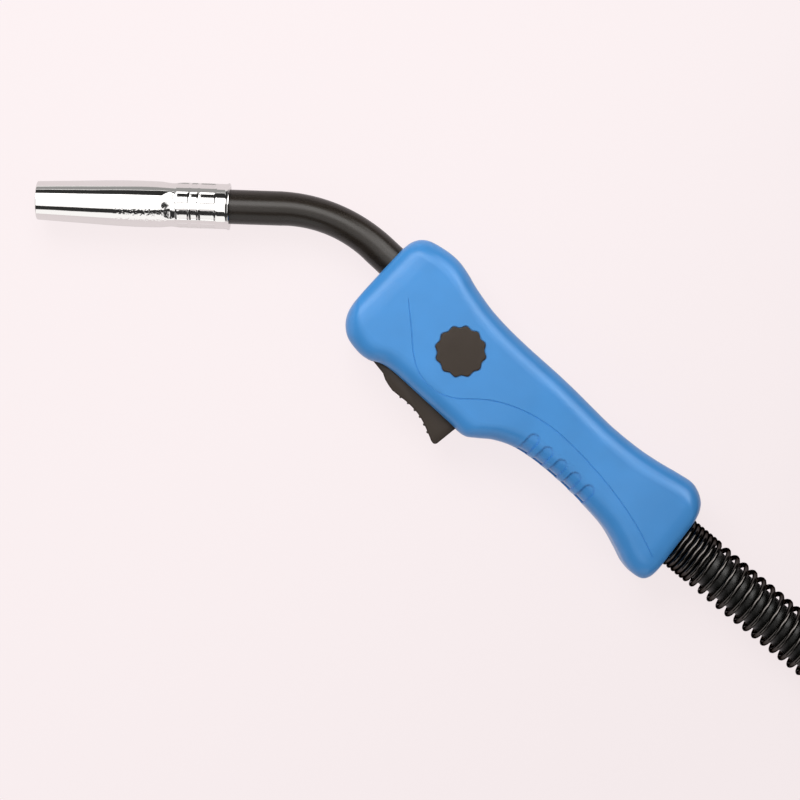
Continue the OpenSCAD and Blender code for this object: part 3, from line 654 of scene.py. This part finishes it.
def slot_cutters(handle, side):
    """Cutters of the finger slots, as deep as the relief under the surface."""
    out = []
    half_w = handle.slot_w / 2
    low, high = sorted(side * z for z in SLOT_SPAN)
    for k in range(handle.slots):
        s = SLOTS_FROM + k * handle.slot_pitch
        for half, depth in ((half_w + SLOT_LIP, LIP_SHARE * handle.relief), (half_w, handle.relief)):
            outline = circle((s, SLOT_TOP), half, np.linspace(0, math.pi, 17)) + [
                (s - half, SLOT_FOOT), (s + half, SLOT_FOOT)]
            cutter = rough_shape("slot cutter", *prism(outline, low, high))
            core = rough_shape("slot floor", *handle_loft(depth, *SLOT_FLOOR, THROUGH, side, flat=4))
            cut(cutter, [core])
            out.append(cutter)
    return out


def rod_cutter(name, place, start, end, r, sides=64):
    """Cylinder along the X axis of a frame, which place takes to the handle's frame."""
    rings = [(x, r * math.cos(a), r * math.sin(a)) for x in (start, end) for a in round_angles(sides)]
    return rough_shape(name, from_handle(place(rings)), ring_faces(2, sides))


def badge_outline(handle, grow):
    """Scalloped outline of the badge, made larger or smaller."""
    r = handle.badge_d / 2 - BADGE_WAVE + grow
    return [circle(BADGE_AT, r + BADGE_WAVE * math.cos(handle.badge_lobes * a), [a])[0]
            for a in round_angles(handle.badge_lobes * LOBE_POINTS)]


def half_handle(handle, side):
    """One half shell: smooth loft, hollowed, with its openings and relief."""
    half = "upper" if side > 0 else "lower"
    shell = rough_shape("handle_" + half, *handle_loft(0.0, *SHELL, SEAM, side))
    slot_half = bpy.context.scene.torch_trigger.width / 2 + TRIGGER_GAP
    low, high = sorted((side * THROUGH, side * slot_half))
    cutters = [
        rough_shape("hollow", *handle_loft(handle.wall, *HOLLOW, THROUGH, side, arc=5, flat=2)),
        rough_shape("trigger slot", *prism(TRIGGER_SLOT, low, high)),
        rod_cutter("neck hole", lambda p: points(p) + [0, NECK_UP, 0], *NECK_HOLE),
        rod_cutter("spring hole", from_exit, *SPRING_HOLE),
        rod_cutter("cable hole", from_exit, *CABLE_HOLE),
        line_cutter(handle.line_w, side),
    ] + slot_cutters(handle, side)
    if side > 0:
        outline = badge_outline(handle, BADGE_GAP)
        cutters.append(rough_shape("badge recess", *prism(outline, MID - BADGE_RECESS, MID + CLEAR)))
    else:
        cutters += [rough_shape("screw hole", *prism(circle(spot, SCREW_HOLE_R), -MID - CLEAR, -SCREW_SEAT))
                    for spot in SCREW_SPOTS]
    cut(shell, cutters)
    finish_piece(shell, "torch", "handle_blue", ["handle_shell_" + half])


class TORCH_OT_handle(bpy.types.Operator):
    """Make both half shells of the handle"""
    bl_idname = "torch.make_handle"
    bl_label = "Handle shells"

    def execute(self, context):
        for side in (1, -1):
            half_handle(context.scene.torch_handle, side)
        return {"FINISHED"}


class TORCH_OT_badge(bpy.types.Operator):
    """Make the bare scalloped badge"""
    bl_idname = "torch.make_badge"
    bl_label = "Badge"

    def execute(self, context):
        handle = context.scene.torch_handle
        verts = [(x, y, MID + z) for z, grow in BADGE_EDGE for x, y in badge_outline(handle, grow)]
        new_piece("badge_disc", from_handle(verts),
                  ring_faces(len(BADGE_EDGE), handle.badge_lobes * LOBE_POINTS),
                  "torch", "black_plastic", ["badge"])
        return {"FINISHED"}


# ---- trigger

FINGER_CURVE = [[36, -37.4], [40, -37.1], [44, -36.8], [48, -37], [51.5, -37.6], [55, -38.8], [58, -40.1]]
# Ridges under the finger, placed by rows of the finger curve
RIDGE_FROM, RIDGE_STEP, RIDGE_R, RIDGE_EDGE = 1.05, 0.965, 0.5, 0.2
BOSS_R, PIVOT_R = 5.2, 1.55


def trigger_outline():
    """Outline of the trigger in the handle's plane."""
    boss = circle(PIVOT_AT, BOSS_R, np.radians(np.arange(90, 241, 10)))
    finger = [tuple(p) for p in smooth_line(FINGER_CURVE, 4)]
    return boss + [(28.6, -34.9), (31, -36.2), (33.8, -37)] + finger + [
        (59.8, -40.9), (61.2, -41.6), (62.3, -41.8), (63.1, -41.5), (63.5, -40.7),
        (64.8, -31.7), (64.8, -28), (63.5, -26.6), (45, -24.9)]


class TORCH_OT_trigger(bpy.types.Operator):
    """Make the ridged trigger"""
    bl_idname = "torch.make_trigger"
    bl_label = "Trigger"

    def execute(self, context):
        trigger = context.scene.torch_trigger
        half = trigger.width / 2
        piece = rough_shape("trigger_lever", *prism(trigger_outline(), -half, half))
        bore = prism(circle(PIVOT_AT, PIVOT_R), -half - CLEAR, half + CLEAR)
        cut(piece, [rough_shape("pivot bore", *bore)])
        soften(piece, trigger.edge)
        for k in range(trigger.ridges):
            centre = blend(FINGER_CURVE, RIDGE_FROM + k * RIDGE_STEP)
            outline = circle(centre, RIDGE_R, round_angles(20))
            ridge = rough_shape("ridge", *prism(outline, -half + RIDGE_EDGE, half - RIDGE_EDGE))
            soften(ridge, RIDGE_EDGE, 2)
            cut(piece, [ridge], "UNION")
        finish_piece(piece, "trigger", "black_plastic", ["trigger"])
        return {"FINISHED"}


# ---- front end

# Distances along the nozzle are from its mouth, in mm
PANEL_FROM, PANEL_GAP, PANEL_W = 56.1, 0.6, 4.6
PANEL_LENGTHS = (5.0, 3.1, 6.4)
PANEL_ROWS = 8
PANEL_TURN = math.radians(7)
ROW_ANGLE = 2 * math.pi / PANEL_ROWS
PANEL_CORNER, PANEL_WALL = 0.5, 0.35
# The raised rim of each panel: its height, how far outside the edge its top is, and its width
RIM_HEIGHT, RIM_AT, RIM_WIDTH = 0.07, 0.22, 0.18
WAIST_AT, REAR_STEP = 53.5, 0.2
# Flat dent ahead of each row of panels, with a short nick across it
DENT_AT, DENT_DEPTH, DENT_HALF = 53.8, 0.34, 3.0
NICK_AT, NICK_DEPTH, NICK_HALF, NICK_WIDTH = 54.4, 0.07, 1.5, 0.35
# Dimple in every second gap between the rows
DIMPLE_AT, DIMPLE_DEPTH = 54.2, 0.43
DIMPLE_FRONT, DIMPLE_REAR, DIMPLE_HALF = 3.8, 4.6, 2.4


def smoothstep(x, low, high):
    """0 under low, 1 over high, smooth between."""
    f = np.clip((x - low) / (high - low), 0, 1)
    return f * f * (3 - 2 * f)


def panel_depths(x, arc):
    """How deep each point lies in a pressed panel, 0 to 1, and how much it is on the raised rim."""
    deep, rim = np.zeros_like(x), np.zeros_like(x)
    start = PANEL_FROM
    for length in PANEL_LENGTHS:
        dx = np.abs(x - start - length / 2) - length / 2 + PANEL_CORNER
        dy = np.abs(arc) - PANEL_W / 2 + PANEL_CORNER
        inside = np.minimum(np.maximum(dx, dy), 0)
        outside = np.hypot(np.maximum(dx, 0), np.maximum(dy, 0)) + inside - PANEL_CORNER
        deep = np.maximum(deep, 1 - smoothstep(outside, -PANEL_WALL, 0.0))
        rim = np.maximum(rim, np.exp(-((outside - RIM_AT) / RIM_WIDTH) ** 2))
        start += length + PANEL_GAP
    return deep, rim


def nozzle_radius(front, x):
    """Outer radius of the nozzle before pressing."""
    body, mouth = front.body_d / 2, front.mouth_d / 2
    rows = [[0, mouth], [10, mouth + 0.45], [20, body - 0.65], [30, body - REAR_STEP], [38, body],
            [47, body], [WAIST_AT, body - 0.28], [WAIST_AT + 4, body - REAR_STEP]]
    curve = smooth_line(rows, 8)
    return np.interp(x, curve[:, 0], curve[:, 1])


def nozzle_profile(front):
    """Outside, lip and bore of the nozzle as (distance, radius), and how many points the outside has."""
    end, bore, mouth = front.nozzle_len, front.bore / 2, front.mouth_d / 2
    along = np.concatenate([[0.2, 0.3], np.linspace(0.8, 48, 59), np.arange(48.3, end - 1.2, 0.25)])
    rear = nozzle_radius(front, np.array([end - 1.2]))[0]
    outer = [(0.0, mouth - 0.18)] + list(zip(along, nozzle_radius(front, along)))
    lip = [(end - 1.0, rear + 0.12), (end - 0.6, rear + 0.33), (end - 0.25, rear + 0.35),
           (end, rear + 0.15), (end, bore + 0.2)]
    inner = [(end - 0.2, bore), (26, bore), (18, bore - 0.6), (10, mouth - 1.1), (0.8, mouth - 1.1),
             (0.2, mouth - 0.95), (0.0, mouth - 0.75)]
    return outer + lip + inner, len(outer)


def pressed_ring(x, r, angle, panel_depth):
    """Radii round the nozzle after pressing, and how deep in a panel each of them lies, 0 to 1."""
    off_row = ((angle - PANEL_TURN) % ROW_ANGLE) - ROW_ANGLE / 2
    off_dimple = ((angle - PANEL_TURN + ROW_ANGLE) % (2 * ROW_ANGLE)) - ROW_ANGLE
    arc = off_row * r
    deep, rim = panel_depths(np.full(len(angle), x), arc)
    radii = r - panel_depth * deep + RIM_HEIGHT * rim
    facet = DENT_DEPTH * (1 - abs(x - DENT_AT) / DENT_HALF)
    if facet > 0:
        radii = np.minimum(radii, (r - facet) / np.cos(off_row))
        radii -= NICK_DEPTH * math.exp(-((x - NICK_AT) / NICK_WIDTH) ** 2) * (np.abs(arc) < NICK_HALF)
    reach = DIMPLE_FRONT if x < DIMPLE_AT else DIMPLE_REAR
    away = np.hypot((x - DIMPLE_AT) / reach, off_dimple * r / DIMPLE_HALF)
    return radii - DIMPLE_DEPTH * np.clip(1 - away, 0, 1), deep


class TORCH_OT_nozzle(bpy.types.Operator):
    """Make the plated gas nozzle with its pressed panels"""
    bl_idname = "torch.make_nozzle"
    bl_label = "Gas nozzle"

    def execute(self, context):
        front = context.scene.torch_front
        sides = 48 * PANEL_ROWS
        angle = round_angles(sides)
        profile, pressed = nozzle_profile(front)
        verts, recess = [], []
        for i, (x, r) in enumerate(profile):
            radii, deep = np.full(sides, r), np.zeros(sides)
            if 0 < i < pressed:
                radii, deep = pressed_ring(x, r, angle, front.panel_depth)
            verts.append(np.column_stack(
                [np.full(sides, x), -radii * np.sin(angle), radii * np.cos(angle)]))
            recess.append(deep)
        piece = new_piece("nozzle_shell", np.concatenate(verts) + nozzle_origin(front),
                          ring_faces(len(profile), sides, closed=True),
                          "nozzle", "chrome", ["gas_nozzle"], sharp=50.0)
        # The recess layer holds how deep each point lies in a panel; the plating reads it for roughness and
        # for painted shade that darkens the panels.
        layer = piece.data.attributes.new("recess", "FLOAT", "POINT")
        layer.data.foreach_set("value", np.concatenate(recess).astype(np.float32))
        return {"FINISHED"}


# The neck's sleeve: where it starts and ends, its bore, and how far the bend narrows it
SLEEVE_FROM, SLEEVE_INTO, SLEEVE_BORE_R = 71.0, 9.5, 4.45
BEND_DRAW = 0.045
STRAIGHT_STEPS, BEND_STEPS = 13, 60


def drawn_in(rings, centres, first, last):
    """Rings made slightly narrower in the plane of the bend, most at the bend's middle."""
    for i in range(first, last):
        heading = unit(centres[i + 1] - centres[i - 1])
        across = np.array([-heading[1], heading[0], 0.0])
        amount = BEND_DRAW * math.sin(math.pi * (i - first) / (last - first)) ** 0.7
        away = (rings[i] - centres[i]) @ across
        rings[i] -= amount * away[:, None] * across
    return rings


def neck_centres(front):
    """Centres of the sleeve: straight, round the bend, then into the handle."""
    straight = front.nozzle_len + front.neck_show
    line = [(x, 0.0) for x in np.linspace(SLEEVE_FROM, straight, STRAIGHT_STEPS + 1)[:-1]]
    line += [(straight + front.bend_r * math.sin(a), front.bend_r * (math.cos(a) - 1))
             for a in np.linspace(0, NECK_ANGLE, BEND_STEPS)]
    centres = np.array([(x, y, 0.0) for x, y in line]) + nozzle_origin(front)
    tail = from_handle([(s, NECK_UP, 0) for s in np.linspace(0.5 - NECK_LEAD, SLEEVE_INTO, 12)])
    return np.concatenate([centres, tail])


class TORCH_OT_neck(bpy.types.Operator):
    """Make the bent neck's sleeve"""
    bl_idname = "torch.make_neck"
    bl_label = "Neck sleeve"

    def execute(self, context):
        front = context.scene.torch_front
        centres = neck_centres(front)
        sides, count = 64, len(centres)
        outer = tube_points(centres, front.sleeve_d / 2, sides).reshape(count, sides, 3)
        outer = drawn_in(outer, centres, STRAIGHT_STEPS, STRAIGHT_STEPS + BEND_STEPS - 1)
        rings = np.concatenate([outer.reshape(-1, 3), tube_points(centres, SLEEVE_BORE_R, sides)[::-1]])
        rings = rings.reshape(2 * count, sides, 3)
        rings[count:] = rings[count:, ::-1]
        new_piece("neck_cover", rings.reshape(-1, 3), ring_faces(2 * count, sides, closed=True),
                  "torch", "neck_black", ["neck_sleeve"])
        return {"FINISHED"}


# ---- cable

# The coil: 2 layers, the radius growing from the middle of the run to both its ends
COIL_CENTRE = (263.0, -70.0)
COIL_START = math.radians(-127.8)
COIL_SWEEP = math.radians(1567.8)
COIL_STEPS = 220
COIL_R, COIL_PITCH = 108.0, 16.4
COIL_LIFT, LAYER_GAP = 0.05, 0.8
# Straight run of the cable out of the handle, and where it meets the coil
EXIT_RUN, JOINT_RUN = 14.0, 4.0
LEAD_POINTS = [[112.9, -90.5, 15.2], [129, -102.8, 13.7], [144.6, -114.8, 12.4], [160.3, -126.7, 11.7],
               [172.5, -135.8, 9.9]]
TAIL_POINTS = [[371, -40, 23.6], [371, -25, 22], [371, -10, 18.8], [371, 4, 14.8], [370.9, 18, 11],
               [368.8, 34, 8.7], [362.6, 51, 7.8], [352.4, 66, 7.8], [339, 78.2, 7.8], [322.5, 86.6, 8.3]]
PLUG_CABLE_END = 60.0
CABLE_SIDES, WIRE_SIDES, CURL_STEPS = 28, 12, 28
# Springs: how far the one at the handle starts inside, and the counts of close and open curls
SPRING_INSET = 7.0
# Half the length of axis that gives a spring its heading
SPRING_STEP = 1.5
HANDLE_CURLS, PLUG_CURLS = (9.75, 16.25), (3, 9)
PLUG_SPRING_RUN, PLUG_CLOSE_PITCH = (1, 70), 2.65


def exit_line():
    """Point where the cable leaves the handle, and its heading, in the part's frame."""
    start, ahead = from_handle(from_exit([[0, 0, 0], [1, 0, 0]]))
    return start, ahead - start


def coil_point(a, cable_d):
    """Centre of the cable at an angle along its coil."""
    low = cable_d / 2 + COIL_LIFT
    high = low + cable_d + LAYER_GAP
    turned = a - COIL_SWEEP / 2
    r = COIL_R - COIL_PITCH * (COIL_SWEEP / 2 - abs(turned)) / (2 * math.pi)
    lift = math.copysign(1.0, turned) if abs(turned) > math.pi / 2 else math.sin(turned)
    angle = COIL_START + a
    return np.array([COIL_CENTRE[0] + r * math.cos(angle), COIL_CENTRE[1] + r * math.sin(angle),
                     (low + high) / 2 + lift * (high - low) / 2])


def cable_routes(cable_d):
    """Lines of centres of the lead, the coil and the tail."""
    start, heading = exit_line()
    coil_in = np.array([math.cos(COIL_START + math.pi / 2), math.sin(COIL_START + math.pi / 2), 0])
    coil_out = np.array([0, 1.0, 0])
    turns = [coil_point(COIL_SWEEP * k / COIL_STEPS, cable_d) for k in range(COIL_STEPS + 1)]
    coil = [turns[0] - cable_d * coil_in] + turns + [turns[-1] + cable_d * coil_out]
    lead = [start, start + EXIT_RUN * heading] + [np.array(p, float) for p in LEAD_POINTS] + [
        coil[0] - JOINT_RUN * coil_in, coil[0]]
    tail = [coil[-1], coil[-1] + JOINT_RUN * coil_out] + [np.array(p, float) for p in TAIL_POINTS] + [
        PLUG_AT, PLUG_AT + PLUG_CABLE_END / 2 * PLUG_AXIS, PLUG_AT + PLUG_CABLE_END * PLUG_AXIS]
    return np.array(lead), np.array(coil), np.array(tail)


class TORCH_OT_cable(bpy.types.Operator):
    """Make the cable and the springs on it"""
    bl_idname = "torch.make_cable"
    bl_label = "Cable and springs"

    def execute(self, context):
        cable = context.scene.torch_cable
        lead, coil, tail = cable_routes(cable.cable_d)
        lead, tail = smooth_line(lead, 5), smooth_line(tail, 5)
        route = np.concatenate([lead, coil[1:], tail[1:]])
        piece = new_piece("torch_cable", tube_points(route, cable.cable_d / 2, CABLE_SIDES),
                          ring_faces(len(route), CABLE_SIDES), "torch", "cable_rubber",
                          ["cable_lead", "cable_coil", "cable_tail"])
        start, heading = exit_line()
        handle_axis = np.concatenate([[start - SPRING_INSET * heading], lead])
        handle_spring = wound_spring("handle_spring", "handle_cable_spring", handle_axis, cable.spring_d,
                                     cable.wire_d, HANDLE_CURLS, (cable.close_pitch, cable.open_pitch))
        plug_axis = PLUG_AT + np.outer(PLUG_SPRING_RUN, PLUG_AXIS)
        plug_spring = wound_spring("plug_spring", "plug_cable_spring", plug_axis, cable.plug_spring_d,
                                   cable.wire_d, PLUG_CURLS, (PLUG_CLOSE_PITCH, cable.open_pitch))
        return {"FINISHED"}


def wound_spring(name, node, axis, outer_d, wire_d, curls, pitches):
    """Right-hand spring along a line; curls and pitches are those of its close and its open part."""
    reach = np.concatenate([[0], np.cumsum(np.linalg.norm(np.diff(axis, axis=0), axis=1))])

    def at(d):
        """Point at a distance along the axis."""
        return np.array([np.interp(d, reach, axis[:, i]) for i in range(3)])

    r, wire = (outer_d - wire_d) / 2, wire_d / 2
    line, centres = [], []
    for k in range(int(sum(curls) * CURL_STEPS) + 1):
        turn = k / CURL_STEPS
        d = min(turn, curls[0]) * pitches[0] + max(turn - curls[0], 0) * pitches[1]
        c, h = at(d), unit(at(d + SPRING_STEP) - at(max(d - SPRING_STEP, 0)))
        up, side = square_to(h)
        a = 2 * math.pi * turn
        line.append(c + r * (math.cos(a) * up + math.sin(a) * side))
        centres.append(c)
    line, rings = np.array(line), []
    for i, p in enumerate(line):
        h = heading_at(line, i)
        out = p - centres[i]
        out = unit(out - np.dot(out, h) * h)
        rings += ring(p, wire, out, np.cross(h, out), WIRE_SIDES)
    return new_piece(name, np.array(rings), ring_faces(len(line), WIRE_SIDES), "torch", "spring_black",
                     [node], sharp=60.0)


# ---- carried-over nodes

class TORCH_OT_inner_parts(bpy.types.Operator):
    """Give each node that stays its finish"""
    bl_idname = "torch.finish_inner_parts"
    bl_label = "Inner parts and plug"

    def execute(self, context):
        for part in frame["record"]["subparts"]:
            obj = NODES[part["node"]]
            material = FINISHES[part["material_slot"]]
            if not obj.material_slots:
                obj.data.materials.append(material)
            for slot in obj.material_slots:
                slot.link = "OBJECT"
                slot.material = material
        return {"FINISHED"}


# ---- stage

CAMERA_AT = (-0.0233, -0.0199, 0.936)
CAMERA_TURN = math.radians(1.93)
CAMERA_ANGLE = math.radians(19.8)
# Softboxes that light the object: name, place, width, power
LIGHTS = [("key", (-0.16, 0.28, 0.48), 0.36, 2.2), ("fill", (0.9, -0.6, 1.5), 1.2, 1.5)]
WORLD_LIGHT = 0.42
WORLD_TINT, STUDIO_TINT = (1.0, 0.985, 0.985), (1.0, 0.985, 0.97)

# What glossy surfaces see, by two angles in degrees: lean is from the zenith toward +Y, and across is
# out of the YZ plane toward +X
STUDIO_LIGHT, STAND_DARK, STUDIO_LEAST = 1.27, 1.22, 0.03
# Dark stands by lean: [from, to, how much darker]
DARK_BANDS = [(37, 67, 1.04), (69, 91, 0.80), (-56, -32, 1.04), (-90, -56, 0.20)]
# How far the stands slant, in degrees of lean for each degree across, and how far toward -X they have
# the lean that is given
SLANT, SLANT_FROM = 0.45, 5
# The bright ceiling over the nozzle: [from, to] across
CEILING = (-24, 9)
# Softboxes: [lean from, to, across from, to, brightness]
SOFTBOXES = [(8, 38, -32, 40, 2.7), (10, 60, 22, 50, 3.4), (-95, 95, -95, -62, 0.9)]
BAND_EDGE, SOFT_EDGE = 2.0, 7.0

# The floor: half its width, how much of its colour glows, how bright its reflection is, its shades,
# and where along Y - X it goes from one to the other; the shades paint a light falloff, darker toward +X
# and -Y
FLOOR_HALF, FLOOR_GLOW, FLOOR_MIRRORED = 4.0, 0.90, 0.78
FLOOR_SHADES, FLOOR_FADE = (0.95, 0.99), (-0.32, 0.1)


def make_world(tone):
    """Plain light all round; glossy surfaces see a dark studio, and the camera a pale backdrop."""
    world = bpy.data.worlds.new("studio")
    bpy.context.scene.world = world
    f = Finish("studio", world)
    x, y, z = f.split(f.node("ShaderNodeTexCoord", out="Generated"))
    degrees = 180 / math.pi
    lean = f.node("ShaderNodeMath", {"operation": "ARCTAN2"}, {0: y, 1: z}) * degrees
    across = f.node("ShaderNodeMath", {"operation": "ARCSINE"}, {0: x}) * degrees
    level = STUDIO_LIGHT
    for low, high, darker in DARK_BANDS:
        level = level - STAND_DARK * darker * band(lean - SLANT * (across + SLANT_FROM), low, high)
    level = level * band(across, *CEILING, SOFT_EDGE) + STUDIO_LEAST
    for low, high, left, right, brightness in SOFTBOXES:
        level = level + brightness * band(lean, low, high, SOFT_EDGE) * band(across, left, right, SOFT_EDGE)
    camera, glossy = f.rays()
    beyond, plain, studio = [
        f.node("ShaderNodeBackground", values={"Color": rgba(tint), "Strength": strength})
        for tint, strength in ((shade(tone, FLOOR_SHADES[0]), 1.0), (WORLD_TINT, WORLD_LIGHT),
                               (STUDIO_TINT, level))]
    light = f.node("ShaderNodeMixShader", values={0: glossy, 1: plain, 2: studio})
    shown = f.node("ShaderNodeMixShader", values={0: camera, 1: light, 2: beyond})
    f.node("ShaderNodeOutputWorld", values={"Surface": shown})


def band(angle, low, high, edge=BAND_EDGE):
    """1 between two angles, fading over an edge."""
    half = edge / 2
    return angle.step(low - half, low + half) * (1 - angle.step(high - half, high + half))


def area_light(name, at, width, power):
    """A square softbox that doesn't show in glossy surfaces; the world holds what they see."""
    data = bpy.data.lights.new(name, "AREA")
    data.shape, data.size, data.energy = "SQUARE", width, power
    obj = add_object(name, data)
    obj.location = at
    obj.rotation_euler = (-Vector(at)).to_track_quat("-Z", "Y").to_euler()
    obj.visible_glossy = False


class TORCH_OT_stage(bpy.types.Operator):
    """Make the camera, the light and the floor"""
    bl_idname = "torch.make_stage"
    bl_label = "Stage"

    def execute(self, context):
        scene = context.scene
        scene.view_settings.view_transform = "Standard"
        data = bpy.data.cameras.new("camera")
        data.sensor_width, data.angle = 36.0, CAMERA_ANGLE
        data.clip_start, data.clip_end = 0.01, 50.0
        camera = add_object("camera", data)
        camera.location, camera.rotation_euler = CAMERA_AT, (0, 0, CAMERA_TURN)
        scene.camera = camera
        make_world(scene.torch_finish.floor)
        for light in LIGHTS:
            area_light(*light)
        make_floor(scene.torch_finish.floor)
        return {"FINISHED"}


def make_floor(tone):
    """Pale floor that keeps its colour, with a painted light falloff darker toward +X and -Y, and still
    takes the object's shadow.
    """
    mesh = bpy.data.meshes.new("floor")
    half = FLOOR_HALF
    corners = [(-half, -half, 0), (half, -half, 0), (half, half, 0), (-half, half, 0)]
    mesh.from_pydata(corners, [], [(0, 1, 2, 3)])
    floor = add_object("floor", mesh)
    f = Finish("floor")
    x, y, _ = f.split(f.node("ShaderNodeTexCoord", out="Object"))
    # Painted light falloff: the floor's colour goes darker toward +X and -Y.
    seen = f.mix((y - x).step(*FLOOR_FADE), *[shade(tone, factor) for factor in FLOOR_SHADES])
    camera, glossy = f.rays()
    matt = f.node("ShaderNodeBsdfDiffuse", values={"Color": seen})
    mirrored = f.mix(glossy, seen, shade(tone, FLOOR_MIRRORED))
    glow = f.node("ShaderNodeEmission", values={"Color": mirrored, "Strength": 1.0})
    share = FLOOR_GLOW * camera.at_least(glossy)
    shown = f.node("ShaderNodeMixShader", values={0: share, 1: matt, 2: glow})
    f.node("ShaderNodeOutputMaterial", values={"Surface": shown})
    mesh.materials.append(f.owner)


# ---- add-on

OPERATORS = [TORCH_OT_stage, TORCH_OT_cable, TORCH_OT_handle, TORCH_OT_badge, TORCH_OT_trigger,
             TORCH_OT_nozzle, TORCH_OT_neck, TORCH_OT_inner_parts]


class TORCH_PT_panel(bpy.types.Panel):
    """Lists the torch's pieces"""
    bl_idname = "TORCH_PT_panel"
    bl_label = "Welding Torch"
    bl_space_type = "VIEW_3D"
    bl_region_type = "UI"
    bl_category = "Torch"

    def draw(self, context):
        """A button for each operator, then the settings."""
        for operator in OPERATORS:
            self.layout.operator(operator.bl_idname)
        for key, group in SETTINGS.items():
            box = self.layout.box()
            for prop in group.__annotations__:
                box.prop(getattr(context.scene, key), prop)


CLASSES = [*SETTINGS.values(), *OPERATORS, TORCH_PT_panel]


def register():
    """Adds the classes and the settings."""
    for cls in CLASSES:
        bpy.utils.register_class(cls)
    for key, group in SETTINGS.items():
        setattr(bpy.types.Scene, key, bpy.props.PointerProperty(type=group))


def unregister():
    """Takes them out again."""
    for key in SETTINGS:
        delattr(bpy.types.Scene, key)
    for cls in reversed(CLASSES):
        bpy.utils.unregister_class(cls)


def main():
    """Builds everything in order."""
    register()
    FINISHES.update(make_finishes(bpy.context.scene.torch_finish))
    for operator in OPERATORS:
        group, name = operator.bl_idname.split(".")
        getattr(getattr(bpy.ops, group), name)()


if __name__ == "__main__":
    main()
